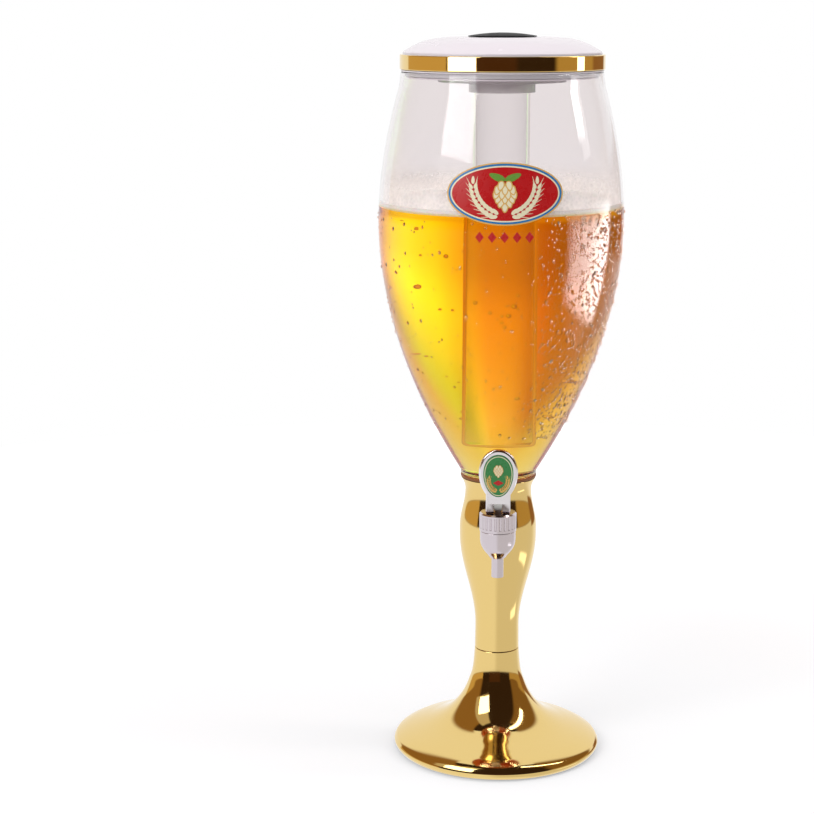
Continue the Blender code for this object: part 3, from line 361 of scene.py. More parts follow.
def rod_along_y(name, radius, front, back, height, facets=48):
    """A round bar along Y, from front to back."""
    bpy.ops.object.select_all(action="DESELECT")
    bpy.ops.mesh.primitive_cylinder_add(vertices=facets, radius=radius, depth=back - front,
                                        location=(0.0, (front + back) / 2, height),
                                        rotation=(math.pi / 2, 0.0, 0.0))
    rod = bpy.context.object
    rod.name = rod.data.name = name
    settle(rod)
    return rod


stem_heights = [between(stem_high.z, waist, i / 6) for i in range(6)]
stem_heights += [between(waist, bulge_high, i / 16) for i in range(17)]
stem_heights += [between(bulge_low, throat, i / 26) for i in range(27)] + [stem_low.z]
stem_side = [(stem_radius(height), height) for height in stem_heights]
stem_inside = inner_side(stem_side, STEM_WALL)
stem_inside = [(stem_inside[0][0], stem_low.z)] + stem_inside[1:-1] + [(LIP_RADIUS - STEM_WALL, stem_high.z)]
stem_shell = turn_on_lathe("stem_shell", stem_side + stem_inside + stem_side[:1])
round_edges(stem_shell, 0.3 * MM)
shank_hole = rod_along_y("shank_hole", SHANK_RADIUS + GAP, -TAP_REACH, 0.0, TAP_HEIGHT)
combine(stem_shell, [shank_hole], "DIFFERENCE")
finish(stem_shell, gold, "root", "gold_plating", "stem")

# The neck seal
# A thin brown rubber ring that the bowl is screwed down on.

seal_low, seal_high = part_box("neck_seal")
SEAL_BORE = 20.7 * MM
seal_half = (seal_high.z - seal_low.z) / 2
SEAL_CROWN_SHARE = 0.6            # how far its outside bulges, of half its height
SEAL_STEPS = 10
seal_round = [(seal_high.x - seal_half * SEAL_CROWN_SHARE * (1.0 - math.sin(a)),
               seal_low.z + seal_half * (1.0 + math.cos(a)))
              for a in (math.pi * i / SEAL_STEPS for i in range(SEAL_STEPS + 1))]
seal_ring = turn_on_lathe("seal_ring", [(SEAL_BORE, seal_high.z)] + seal_round
                          + [(SEAL_BORE, seal_low.z), (SEAL_BORE, seal_high.z)])
amber_rubber = grained("amber_rubber", (0.30, 0.10, 0.022), 0.38, 0.55, 0.01 * MM)
finish(seal_ring, amber_rubber, "root", "amber_seal", "neck_seal")

# The bowl
# One blow-moulded vessel of clear, faintly grey plastic: a cylindrical mouth, a crown, a long belly, and a
# blind neck that stands in the stem.  Its walls are about 2.5 mm and polished.

bowl_low, bowl_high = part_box("bowl")
BOWL_WALL = 2.5 * MM
MOUTH_RADIUS = 67.9 * MM
COLLAR_TAPER = 1.1 * MM
COLLAR_HEIGHT = 9.2 * MM
CROWN_RISE = 91.0 * MM
BELLY_RISE = 172.5 * MM
SHOULDER_RADIUS = 26.3 * MM
SHOULDER_HEIGHT = 2.2 * MM
CROWN_POWER_SHARE = 1.85
BELLY_POWER_SHARE = 1.92
NECK_RADIUS = 20.4 * MM
BOWL_FACETS = 192
CLEAR_TINT = (0.927, 0.89, 0.888)
CLEAR_SHADOW = (0.95, 0.95, 0.96)
CLEAR_SHINE = 0.18                # less than such plastic has, so that a white room doesn't veil the drink
CLEAR_IOR = 1.49
belly_radius = bowl_high.x
collar_bottom = bowl_high.z - COLLAR_HEIGHT
widest = collar_bottom - CROWN_RISE
belly_bottom = widest - BELLY_RISE
shoulder = belly_bottom - SHOULDER_HEIGHT


def bowl_radius(height):
    if height <= widest:
        share = min((widest - height) / BELLY_RISE, 1.0)
        return between(belly_radius, SHOULDER_RADIUS, share ** BELLY_POWER_SHARE)
    if height < collar_bottom:
        share = (height - widest) / CROWN_RISE
        return between(belly_radius, MOUTH_RADIUS + COLLAR_TAPER, share ** CROWN_POWER_SHARE)
    return MOUTH_RADIUS + COLLAR_TAPER * (bowl_high.z - height) / COLLAR_HEIGHT


def let_through(material, shader, rays, tint):
    """Let two kinds of ray pass a material unbent, with no more than a tint."""
    tree = material.node_tree
    path = add_node(tree, "LightPath")
    either = add_node(tree, "Math", {number: path.outputs[ray] for number, ray in enumerate(rays)},
                      operation="MAXIMUM")
    passing = add_node(tree, "BsdfTransparent", {"Color": (*tint, 1.0)})
    choice = add_node(tree, "MixShader", {"Fac": either.outputs["Value"], 1: shader.outputs["BSDF"],
                                          2: passing.outputs["BSDF"]})
    tree.links.new(choice.outputs["Shader"], tree.nodes["Material Output"].inputs["Surface"])


def clear_plastic(name, tint, ior, passed_tint, shine):
    """Polished clear stuff that lets the lamps' light on to what it holds.  Shine is its share of mirroring."""
    material, shader = new_material(name, tint, 0.0)
    shader.inputs["Transmission Weight"].default_value = 1.0
    shader.inputs["IOR"].default_value = ior
    shader.inputs["Specular Tint"].default_value = (shine, shine, shine, 1.0)
    let_through(material, shader, ("Is Shadow Ray", "Is Diffuse Ray"), passed_tint)
    return material


bowl_heights = [bowl_high.z, collar_bottom]
bowl_heights += [between(collar_bottom, widest, i / 26) for i in range(1, 26)]
bowl_heights += [between(widest, belly_bottom, i / 52) for i in range(53)]
bowl_side = [(bowl_radius(height), height) for height in bowl_heights]
bowl_inside = [(radius, height) for radius, height in inner_side(bowl_side, BOWL_WALL)
               if radius > NECK_RADIUS - BOWL_WALL and height > shoulder + BOWL_WALL]
bowl_inside[-1] = (MOUTH_RADIUS - BOWL_WALL, bowl_high.z)
neck_bore = NECK_RADIUS - BOWL_WALL
bowl_outline = bowl_side + [(SHOULDER_RADIUS, shoulder), (NECK_RADIUS, shoulder), (NECK_RADIUS, bowl_low.z),
                            (0.0, bowl_low.z), (0.0, bowl_low.z + BOWL_WALL),
                            (neck_bore, bowl_low.z + BOWL_WALL), (neck_bore, shoulder + BOWL_WALL)]
bowl_vessel = turn_on_lathe("bowl_vessel", bowl_outline + bowl_inside + bowl_side[:1], facets=BOWL_FACETS)
round_edges(bowl_vessel, 0.6 * MM, segments=3, angle=40.0)
neck_hole = rod_along_y("neck_hole", SHANK_RADIUS + GAP, -TAP_REACH, 0.0, TAP_HEIGHT)
combine(bowl_vessel, [neck_hole], "DIFFERENCE")
clear = clear_plastic("clear_plastic", CLEAR_TINT, CLEAR_IOR, CLEAR_SHADOW, CLEAR_SHINE)
finish(bowl_vessel, clear, "root", "clear_plastic", "bowl")
wetted = clear_plastic("wetted_plastic", CLEAR_TINT, CLEAR_IOR, CLEAR_SHADOW, 0.0)
bowl_vessel.data.materials.append(wetted)
beer_low, beer_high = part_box("beer")
for face in bowl_vessel.data.polygons:
    inside = face.center.xy.length < bowl_radius(face.center.z) - BOWL_WALL / 2
    if inside and shoulder < face.center.z < beer_high.z:
        face.material_index = 1

# The drink
# Clear amber beer that fills the bowl to just above its widest place.  It reaches into the wall, as a full
# vessel's wall takes on the colour of what it holds, and the tube stands in it without a hollow of its own.

WETTING = 0.1 * MM
WALL_COLOURED = 2.1 * MM
COLOUR_STARTS = 6.0 * MM          # below the beer's top
MENISCUS = 0.7 * MM
BEER_IOR = 1.34
BEER_DEPTH_OF_COLOUR = 36.0       # absorption of blue, per metre
BEER_COLOUR = (0.986, 0.767, 0.03)
BEER_SHADOW = (0.97, 0.80, 0.42)


def wetted_side(top, bottom, steps, coloured=0.0):
    """The bowl's inner side between two levels, a little inside the wall, from the top down."""
    line = []
    for i in range(steps + 1):
        height = between(top, bottom, i / steps)
        slope = (bowl_radius(height + MM) - bowl_radius(height - MM)) / (2 * MM)
        into_wall = WETTING + coloured * min((top - height) / COLOUR_STARTS, 1.0)
        line.append((bowl_radius(height) - (BOWL_WALL - into_wall) * math.hypot(1.0, slope), height))
    return line


beer_side = wetted_side(beer_high.z, belly_bottom, 60, coloured=WALL_COLOURED)
beer_edge = beer_side[0][0]
beer_top = [(0.0, beer_high.z)]
beer_top += [(beer_edge - 5 * MENISCUS * share, beer_high.z + MENISCUS * (1 - share) ** 2)
             for share in (1.0, 0.75, 0.5, 0.25, 0.0)]
beer_foot = shoulder + BOWL_WALL - WALL_COLOURED
beer_fill = turn_on_lathe("beer_fill", beer_top + beer_side[1:]
                          + [(beer_side[-1][0], beer_foot), (neck_bore + WETTING, beer_foot),
                             (neck_bore + WETTING, beer_low.z), (0.0, beer_low.z)], facets=BOWL_FACETS)
beer = clear_plastic("beer", (1.0, 1.0, 1.0), BEER_IOR, BEER_SHADOW, 0.0)
soak = add_node(beer.node_tree, "VolumeAbsorption",
                {"Color": (*BEER_COLOUR, 1.0), "Density": BEER_DEPTH_OF_COLOUR})
beer.node_tree.links.new(soak.outputs["Volume"], beer.node_tree.nodes["Material Output"].inputs["Volume"])
finish(beer_fill, beer, "root", "beer", "beer")

# The foam
# A thin head of fine bubbles on the beer, thicker at the wall, and the lace that it leaves on the wall
# above it as the level falls.

foam_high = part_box("foam_head")[1]
LACE_HEIGHT = 22.0 * MM
LACE_WALL = 0.15 * MM
FOAM_SINK = 0.5 * MM
FOAM_LUMP = 0.6 * MM

foam_side = wetted_side(foam_high.z, beer_high.z - FOAM_SINK, 4)
foam_edge = foam_side[0][0]
foam_top = [(foam_edge * i / 40, foam_high.z) for i in range(40)]
foam_head_top = turn_on_lathe("foam_top", foam_top + foam_side + [(0.0, beer_high.z - FOAM_SINK)], facets=180)
random.seed(7)
swells = [(Vector((random.uniform(-1, 1), random.uniform(-1, 1))) * foam_edge, random.uniform(4, 11) * MM)
          for _ in range(60)]
for vertex in foam_head_top.data.vertices:
    if vertex.co.z > foam_high.z - 0.1 * MM:
        place = vertex.co.xy
        swell = sum(math.exp(-((place - middle).length / reach) ** 2) for middle, reach in swells)
        vertex.co.z -= FOAM_LUMP * (1.0 - min(swell, 1.0)) * (1.0 - (place.length / foam_edge) ** 6)
foam, foam_shader = new_material("foam", (0.90, 0.85, 0.79), 0.55)
foam_shader.inputs["Subsurface Weight"].default_value = 0.3
foam_shader.inputs["Subsurface Scale"].default_value = 2 * MM
add_effect(foam, foam_shader, FINE_GRAIN, "Normal", Scale=700.0, Depth=0.25 * MM)
finish(foam_head_top, foam, "root", "foam", "foam_head")

lace_out = [(radius - 2 * WETTING, height)
            for radius, height in wetted_side(foam_high.z + LACE_HEIGHT, foam_high.z, 12)]
lace_in = [(radius - LACE_WALL, height) for radius, height in lace_out[::-1]]
foam_lace = turn_on_lathe("foam_lace", lace_out + lace_in + lace_out[:1])
lace, lace_shader = new_material("foam_lace", (0.97, 0.94, 0.90), 0.9)
# painted light: the lace glows a little, though it is no lamp, so that the thin haze looks as bright as a lit
# film
lace_shader.inputs["Emission Color"].default_value = (1.0, 0.91, 0.85, 1.0)
lace_shader.inputs["Emission Strength"].default_value = 0.22
LACE_BUBBLE_SCALE = 420.0
LACE_DRIFT_SCALE = 55.0
LACE_TEAR = 0.3
LACE_THICKEST = 0.85


def thin_out(material, shader, bottom, top, thickest):
    """Fade a film out with height, torn by small bubbles."""
    tree = material.node_tree
    place = add_node(tree, "TexCoord").outputs["Object"]
    parts = add_node(tree, "SeparateXYZ", {"Vector": place})
    fade = add_node(tree, "MapRange", {"Value": parts.outputs["Z"], "From Min": bottom, "From Max": top,
                                       "To Min": thickest, "To Max": 0.0}, interpolation_type="SMOOTHSTEP")
    drift = add_node(tree, "TexNoise", {"Vector": place, "Scale": LACE_DRIFT_SCALE, "Detail": 6.0})
    bubbles = add_node(tree, "TexVoronoi", {"Vector": place, "Scale": LACE_BUBBLE_SCALE})
    torn = add_node(tree, "Math", {0: bubbles.outputs["Distance"], 1: LACE_TEAR, 2: drift.outputs["Fac"]},
                    operation="MULTIPLY_ADD", use_clamp=True)
    film = add_node(tree, "Math", {0: torn.outputs["Value"], 1: fade.outputs["Result"]}, operation="MULTIPLY")
    tree.links.new(film.outputs["Value"], shader.inputs["Alpha"])


thin_out(lace, lace_shader, foam_high.z, foam_high.z + LACE_HEIGHT, LACE_THICKEST)
finish(foam_lace, lace, "root", "foam")

# The condensation
# Small drops of water on the cold part of the bowl, thick to the right of the tap and sparse elsewhere.  Each
# is one dome, flattened and a little uneven, and they are joined into one piece.

DROP_COUNT = 1900
DROP_FACETS = 10
DROP_RINGS = 6
DROP_SMALLEST = 0.42 * MM
DROP_LARGEST = 1.25 * MM
DROP_FLATNESS = 0.55
DEW_SHARE_OF_BELLY = 0.16         # lowest drops, up the belly
DENSE_FROM = math.radians(12.0)   # measured from the tap towards +X
DENSE_TO = math.radians(88.0)
STRAY_SHARE = 0.22                # drops outside the dense stretch


def outside_of_bowl(turn, height, lift=0.0):
    """A point on the bowl's outside, and the way out of it there.  Turn 0 faces the tap's side."""
    slope = (bowl_radius(height + MM) - bowl_radius(height - MM)) / (2 * MM)
    around = Vector((math.sin(turn), -math.cos(turn), 0.0))
    out = (around - Vector((0.0, 0.0, slope))).normalized()
    return around * bowl_radius(height) + Vector((0.0, 0.0, height)) + out * lift, out


def join_pieces(pieces, name):
    bpy.ops.object.select_all(action="DESELECT")
    for piece in pieces:
        piece.select_set(True)
    bpy.context.view_layer.objects.active = pieces[0]
    bpy.ops.object.join()
    joined = bpy.context.object
    joined.name = joined.data.name = name
    return joined


bpy.ops.object.select_all(action="DESELECT")
bpy.ops.mesh.primitive_uv_sphere_add(segments=DROP_FACETS, ring_count=DROP_RINGS, radius=1.0)
drop = bpy.context.object
bpy.ops.object.mode_set(mode="EDIT")
bpy.ops.mesh.select_all(action="SELECT")
bpy.ops.mesh.bisect(plane_co=(0.0, 0.0, -0.25), plane_no=(0.0, 0.0, 1.0), clear_inner=True, use_fill=True)
bpy.ops.object.mode_set(mode="OBJECT")
random.seed(21)
drops = []
for _ in range(DROP_COUNT):
    if random.random() < STRAY_SHARE:
        drop_turn = random.uniform(-math.pi, math.pi)
    else:
        drop_turn = random.triangular(DENSE_FROM, DENSE_TO, between(DENSE_FROM, DENSE_TO, 0.45))
    up_share = random.random() ** 0.75
    drop_height = between(belly_bottom + BELLY_RISE * DEW_SHARE_OF_BELLY, beer_high.z, up_share)
    size = between(DROP_SMALLEST, DROP_LARGEST, random.random() ** 2.6)
    spot, out = outside_of_bowl(drop_turn, drop_height)
    copy = bpy.data.objects.new("drop", drop.data.copy())
    lean = out.to_track_quat("Z", "Y").to_matrix().to_4x4()
    uneven = Matrix.Diagonal((size * random.uniform(0.85, 1.1), size * random.uniform(0.95, 1.35),
                              size * DROP_FLATNESS * 1.3, 1.0))
    copy.data.transform(Matrix.Translation(spot) @ lean @ uneven)
    bpy.context.scene.collection.objects.link(copy)
    drops.append(copy)
bpy.data.objects.remove(drop)
dew = join_pieces(drops, "dew_drops")
bpy.ops.object.shade_smooth()
water = clear_plastic("water", (1.0, 1.0, 1.0), 1.33, (0.97, 0.97, 0.97), 1.0)
finish(dew, water, "root", "clear_plastic")

# The emblem
# A printed transfer on the bowl's front: a red oval with a cream, blue and gold edge, a hop cone between two
# ears of barley, and a row of small lozenges.  It carries no lettering.

EMBLEM_TURN = 2.5 * MM            # its middle, to the right of the tap
EMBLEM_HEIGHT = 401.0 * MM
EMBLEM_HALF_WIDTH = 37.0 * MM
EMBLEM_HALF_HEIGHT = 20.0 * MM
EDGE_WIDTHS = (0.9 * MM, 1.3 * MM, 0.9 * MM)
EAR_FROM_MIDDLE = 4.5 * MM
EAR_DROP = 13.5 * MM
EAR_GRAIN = 5.4 * MM
EAR_GRAINS = 9
EAR_LEAN = math.radians(72.0)
EAR_BEND = math.radians(74.0)
HOP_SIZE = 21.0 * MM
HOP_DROP = 1.0 * MM
LEAF_RISE = 8.5 * MM
LEAF_LENGTH = 11.0 * MM
LEAF_WIDTH = 4.5 * MM
LEAF_LEAN = math.radians(68.0)
LOZENGE_STEP = 8.0 * MM
LOZENGE_DROP = 27.5 * MM
LOZENGE_HALF_WIDTH = 2.8 * MM
LOZENGE_HALF_HEIGHT = 3.6 * MM
PRINT_LAYER = 0.04 * MM
PRINT_SOLID = 0.03 * MM
RED = (0.56, 0.005, 0.007)
CREAM = (0.93, 0.84, 0.58)
PRINT_GOLD = (0.80, 0.47, 0.12)
BLUE = (0.02, 0.20, 0.50)
LEAF_GREEN = (0.16, 0.36, 0.05)


def ink(name, colour):
    """Screen-printed ink: glossy, with a little mottling in its sheen."""
    material, shader = new_material(name, colour, 0.3)
    add_effect(material, shader, HANDLING_MARKS, "Roughness", Scale=160.0, Low=0.22, High=0.36)
    add_effect(material, shader, FINE_GRAIN, "Normal", Scale=1500.0, Depth=0.01 * MM)
    return material


def flat_print(name, outline, rings, surface, layer):
    """A printed shape: a disc drawn out to an outline of (x, z), laid on a surface and thickened."""
    bpy.ops.object.select_all(action="DESELECT")
    bpy.ops.mesh.primitive_circle_add(vertices=len(outline), radius=1.0, fill_type="NOTHING")
    shape = bpy.context.object
    shape.name = shape.data.name = name
    bpy.ops.object.mode_set(mode="EDIT")
    bpy.ops.mesh.select_all(action="SELECT")
    for ring in range(1, rings):
        bpy.ops.mesh.extrude_region_move(TRANSFORM_OT_translate={"value": (0.0, 0.0, 0.0)})
        bpy.ops.transform.resize(value=((rings - ring) / (rings - ring + 1),) * 3)
    bpy.ops.mesh.edge_face_add()
    bpy.ops.mesh.poke()
    bpy.ops.object.mode_set(mode="OBJECT")
    middle = sum((Vector(point) for point in outline), Vector((0.0, 0.0))) / len(outline)
    for vertex in shape.data.vertices:
        turn = math.atan2(-vertex.co.x, vertex.co.y) % math.tau
        corner = Vector(outline[round(turn / math.tau * len(outline)) % len(outline)])
        point = middle + (corner - middle) * min(vertex.co.xy.length, 1.0)
        vertex.co = surface(point.x, point.y, layer)
    pick(shape)
    bpy.ops.object.mode_set(mode="EDIT")
    bpy.ops.mesh.select_all(action="SELECT")
    bpy.ops.mesh.normals_make_consistent(inside=False)
    bpy.ops.object.mode_set(mode="OBJECT")
    if shape.data.polygons[0].normal.y > 0:
        shape.data.flip_normals()
    skin = shape.modifiers.new("thickness", "SOLIDIFY")
    skin.thickness = PRINT_SOLID
    skin.offset = -1.0
    bpy.ops.object.modifier_apply(modifier=skin.name)
    bpy.ops.object.shade_smooth_by_angle(angle=SMOOTH_ANGLE)
    return shape


def print_group(name, shapes, surface, colour, body, rings=2):
    """Shapes of one ink, each an outline with its layer, joined into one piece."""
    printed = [flat_print(name, outline, rings, surface, layer) for outline, layer in shapes]
    finish(join_pieces(printed, name), ink(name, colour), body, "badge")


def on_bowl(x, z, layer):
    """A place on the front of the bowl, a few layers of ink outside it."""
    radius = bowl_radius(z) + PRINT_LAYER * (layer + 1.0)
    return Vector((x, -math.sqrt(radius ** 2 - x ** 2), z))


def oval(x, z, half_width, half_height, points):
    return [(x - half_width * math.sin(turn), z + half_height * math.cos(turn))
            for turn in (math.tau * i / points for i in range(points))]


def leaf(x, z, length, width, angle, points=12):
    """A pointed grain or leaf from its root, leaning by an angle from upright."""
    outline = []
    for i in range(points):
        turn = math.tau * i / points
        along = length * (1.0 - math.cos(turn)) / 2
        across = -width / 2 * math.sin(turn) * (1.25 - 0.5 * along / length)
        outline.append((x + along * math.sin(angle) + across * math.cos(angle),
                        z + along * math.cos(angle) - across * math.sin(angle)))
    return outline[points // 2:] + outline[:points // 2]


def barley_ear(x, z, size, lean, bend, grains, layer):
    """Grains in two rows up a bent stalk, each with a long thin awn, and one grain at the tip."""
    shapes = []
    spot, angle = Vector((x, z)), lean
    for i in range(grains):
        grain = size * (1.0 - 0.25 * i / grains)
        for side in (-1.0, 1.0):
            root = (spot.x + side * 0.12 * size * math.cos(angle),
                    spot.y - side * 0.12 * size * math.sin(angle))
            shapes.append((leaf(*root, grain, grain * 0.46, angle + side * 0.45), layer + 1))
            shapes.append((leaf(*root, grain * 2.0, grain * 0.10, angle + side * 0.38), layer))
        spot += Vector((math.sin(angle), math.cos(angle))) * size * 0.56
        angle += bend / grains
    return shapes + [(leaf(spot.x, spot.y, size * 0.95, size * 0.40, angle), layer + 1)]


def hop_cone(x, z, size, layer):
    """Rows of overlapping scales, from the tip up: first their rims and then, a layer above, their faces."""
    rims, faces = [], []
    for row, (count, spread) in enumerate(((1, 0.0), (2, 0.08), (3, 0.16), (4, 0.22), (3, 0.18), (2, 0.08))):
        for i in range(count):
            side = 0.0 if count == 1 else 2.0 * i / (count - 1) - 1.0
            root = (x + side * spread * size, z - size * (0.20 - 0.13 * row))
            lean = math.pi - side * 0.30
            inset = (root[0] + 0.03 * size * math.sin(lean), root[1] + 0.03 * size * math.cos(lean))
            rims.append((leaf(*root, size * 0.32, size * 0.22, lean), layer + 2 * row))
            faces.append((leaf(*inset, size * 0.25, size * 0.145, lean), layer + 2 * row + 1))
    return rims, faces


inset = 0.0
for name, colour, layer in (("emblem_gold_edge", PRINT_GOLD, 0), ("emblem_blue_edge", BLUE, 1),
                            ("emblem_cream_edge", CREAM, 2), ("emblem_red_field", RED, 3)):
    rim = oval(EMBLEM_TURN, EMBLEM_HEIGHT, EMBLEM_HALF_WIDTH - inset, EMBLEM_HALF_HEIGHT - inset, 96)
    print_group(name, [(rim, layer)], on_bowl, colour, "root", rings=10)
    inset += EDGE_WIDTHS[min(layer, 2)]
ears = []
for side in (-1.0, 1.0):
    ears += barley_ear(EMBLEM_TURN + side * EAR_FROM_MIDDLE, EMBLEM_HEIGHT - EAR_DROP, EAR_GRAIN,
                       side * EAR_LEAN, -side * EAR_BEND, EAR_GRAINS, layer=4)
print_group("emblem_barley", ears, on_bowl, CREAM, "root")
hop_rims, hop_faces = hop_cone(EMBLEM_TURN, EMBLEM_HEIGHT - HOP_DROP, HOP_SIZE, layer=6)
hop_leaves = [(leaf(EMBLEM_TURN, EMBLEM_HEIGHT + LEAF_RISE, LEAF_LENGTH, LEAF_WIDTH, side * LEAF_LEAN), 5)
              for side in (-1.0, 1.0)]
print_group("emblem_leaves", hop_leaves, on_bowl, LEAF_GREEN, "root")
print_group("emblem_hop", hop_rims, on_bowl, PRINT_GOLD, "root")
print_group("emblem_hop_faces", hop_faces, on_bowl, CREAM, "root")
lozenges = [(oval(EMBLEM_TURN + step * LOZENGE_STEP, EMBLEM_HEIGHT - LOZENGE_DROP, LOZENGE_HALF_WIDTH,
                  LOZENGE_HALF_HEIGHT, 4), 0) for step in range(-2, 3)]
print_group("emblem_lozenges", lozenges, on_bowl, RED, "root")

# The lid
# A white glossy moulding with a flat round plateau, over a floor that carries the ice tube.  A gold ring is
# sprung round its skirt, and a silicone ring under it seals on the bowl's mouth.

lid_low, lid_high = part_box("lid_dome")
band_low, band_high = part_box("lid_band")
LID_WALL = 2.2 * MM
BAND_THICKNESS = 1.8 * MM
PLATEAU_RADIUS = 38.6 * MM
PLATEAU_STEP = 0.4 * MM
DOME_EDGE_SHARE = 0.12
DOME_POWER_SHARE = 2.1
LIP_HEIGHT = 1.0 * MM
TUBE_RADIUS = 18.8 * MM
TUBE_WALL = 1.75 * MM
tube_bore = TUBE_RADIUS - TUBE_WALL
skirt_radius = band_high.x - BAND_THICKNESS - GAP
dome_bottom = band_high.z + GAP
crown = lid_high.z - PLATEAU_STEP
dome_rise = crown - dome_bottom
DOME_STEPS = 22
dome = [(between(PLATEAU_RADIUS, skirt_radius, i / DOME_STEPS),
         crown - dome_rise * (1.0 - DOME_EDGE_SHARE) * (i / DOME_STEPS) ** DOME_POWER_SHARE)
        for i in range(DOME_STEPS + 1)]
ceiling = [(min(radius, skirt_radius - LID_WALL), height - LID_WALL) for radius, height in dome[::-4]]
lid_outline = [(tube_bore, lid_high.z), (PLATEAU_RADIUS - 1.2 * MM, lid_high.z),
               (PLATEAU_RADIUS - 0.4 * MM, lid_high.z - PLATEAU_STEP)]
lid_outline += dome + [(skirt_radius, lid_low.z + LIP_HEIGHT), (lid_high.x, lid_low.z + LIP_HEIGHT),
                       (lid_high.x, lid_low.z), (skirt_radius - LID_WALL, lid_low.z)]
lid_outline += ceiling + [(tube_bore, crown - LID_WALL), (tube_bore, lid_high.z)]
lid_cover = turn_on_lathe("lid_cover", lid_outline)
round_edges(lid_cover, 0.35 * MM, angle=25.0)


def glossy_plastic(name, colour, low, high):
    """Glossy moulded plastic with the faint waviness of its mould."""
    material, shader = new_material(name, colour, low)
    shader.inputs["Coat Weight"].default_value = 0.25
    shader.inputs["Coat Roughness"].default_value = 0.04
    add_effect(material, shader, HANDLING_MARKS, "Roughness", Scale=35.0, Low=low, High=high)
    add_effect(material, shader, MOULDED_SKIN, "Normal", Scale=30.0, Depth=0.008 * MM)
    return material


white = glossy_plastic("white_plastic", (0.88, 0.80, 0.84), 0.25, 0.28)
finish(lid_cover, white, "lid", "white_plastic", "lid_dome")

band_inside = band_high.x - BAND_THICKNESS
lid_trim = turn_on_lathe("lid_trim", [(band_inside, band_high.z), (band_high.x, band_high.z),
                                      (band_high.x, band_low.z), (band_inside, band_low.z),
                                      (band_inside, band_high.z)], facets=BOWL_FACETS)
round_edges(lid_trim, 0.55 * MM, segments=4)
finish(lid_trim, plated("band_gold", GOLD, 0.03, 0.07), "lid", "gold_plating", "lid_band")

pan_low, pan_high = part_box("lid_pan")
lid_seal_low, lid_seal_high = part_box("lid_seal")
flange_low, flange_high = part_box("tube_flange")
PAN_WALL = 2.4 * MM
GROOVE_DEPTH = 1.3 * MM
HUB_WALL = 2.4 * MM
PAN_RIM_HEIGHT = 3.0 * MM
pan_rim = skirt_radius - LID_WALL - GAP
groove = pan_rim - GROOVE_DEPTH
groove_low = lid_seal_low.z - GAP
hub_bore = TUBE_RADIUS + GAP
lid_floor = turn_on_lathe(
    "lid_floor",
    [(pan_rim, lid_low.z + PAN_RIM_HEIGHT), (pan_rim, bowl_high.z), (groove, bowl_high.z),
     (groove, groove_low), (pan_rim, groove_low), (pan_rim, pan_low.z), (hub_bore, pan_low.z),
     (hub_bore, pan_high.z),
     (hub_bore + HUB_WALL, pan_high.z), (hub_bore + HUB_WALL, pan_low.z + PAN_WALL),
     (groove - PAN_WALL, pan_low.z + PAN_WALL), (groove - PAN_WALL, lid_low.z + PAN_RIM_HEIGHT),
     (pan_rim, lid_low.z + PAN_RIM_HEIGHT)])
round_edges(lid_floor, 0.25 * MM, segments=2)
finish(lid_floor, white, "lid", "white_plastic", "lid_pan")

silicone = grained("silicone", (0.62, 0.60, 0.61), 0.45, 0.6, 0.01 * MM)
lid_gasket = turn_on_lathe("lid_gasket",
                           [(groove + GAP, lid_seal_high.z), (lid_seal_high.x, lid_seal_high.z),
                            (lid_seal_high.x, lid_seal_low.z), (groove + GAP, lid_seal_low.z),
                            (groove + GAP, lid_seal_high.z)])
round_edges(lid_gasket, 0.4 * MM)
finish(lid_gasket, silicone, "lid", "silicone", "lid_seal")

# The ice tube
# A long clear tube, closed and rounded below, that hangs in the drink and holds ice.  Its rim rests on the
# floor's hub, and a clear flange with a collar is screwed up against the floor round it.

tube_low, tube_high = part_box("ice_tube")
FLANGE_THICKNESS = 2.4 * MM
COLLAR_WALL = 3.2 * MM
GASKET_ROOM = 1.5 * MM
TUBE_ROUNDING = 3.0 * MM
TUBE_RIM_HEIGHT = 1.8 * MM
TUBE_TINT = (0.96, 0.955, 0.955)
# painted shade: the tube's colour turns darker grey where it is seen edge-on, in place of the dark lines that
# bent light draws at a clear tube's edges
TUBE_EDGE_PAINTED_SHADE = (0.72, 0.71, 0.71)
TUBE_EDGE_BLEND = 0.22
TUBE_IOR = 1.01                   # little above 1, as the wetted tube hardly bends the light
tube_round = [(TUBE_RADIUS - TUBE_ROUNDING * (1.0 - math.cos(a)),
               tube_low.z + TUBE_ROUNDING * (1.0 - math.sin(a)))
              for a in (math.pi / 2 * i / 8 for i in range(9))]
tube_floor = tube_low.z + TUBE_WALL
tube_long = turn_on_lathe(
    "tube_long",
    [(0.0, tube_floor), (tube_bore - TUBE_WALL, tube_floor), (tube_bore, tube_floor + TUBE_WALL),
     (tube_bore, tube_high.z), (tube_high.x, tube_high.z), (tube_high.x, tube_high.z - TUBE_RIM_HEIGHT),
     (TUBE_RADIUS, tube_high.z - TUBE_RIM_HEIGHT)] + tube_round + [(0.0, tube_low.z)], facets=96)
tube_plastic = clear_plastic("tube_plastic", TUBE_TINT, TUBE_IOR, (0.95, 0.95, 0.95), 1.0)
tube_tree = tube_plastic.node_tree
# painted shade: Layer Weight's facing darkens the base colour towards the tube's edges as seen
tube_view = add_node(tube_tree, "LayerWeight", {"Blend": TUBE_EDGE_BLEND})
tube_shade = add_node(tube_tree, "ValToRGB", {"Fac": tube_view.outputs["Facing"]})
tube_shade.color_ramp.elements[0].color = (*TUBE_TINT, 1.0)
tube_shade.color_ramp.elements[1].color = (*TUBE_EDGE_PAINTED_SHADE, 1.0)
tube_tree.links.new(tube_shade.outputs["Color"], tube_tree.nodes["Principled BSDF"].inputs["Base Color"])
finish(tube_long, tube_plastic, "lid", "clear_plastic", "ice_tube")
collar = hub_bore + COLLAR_WALL
flange_floor = flange_high.z - FLANGE_THICKNESS
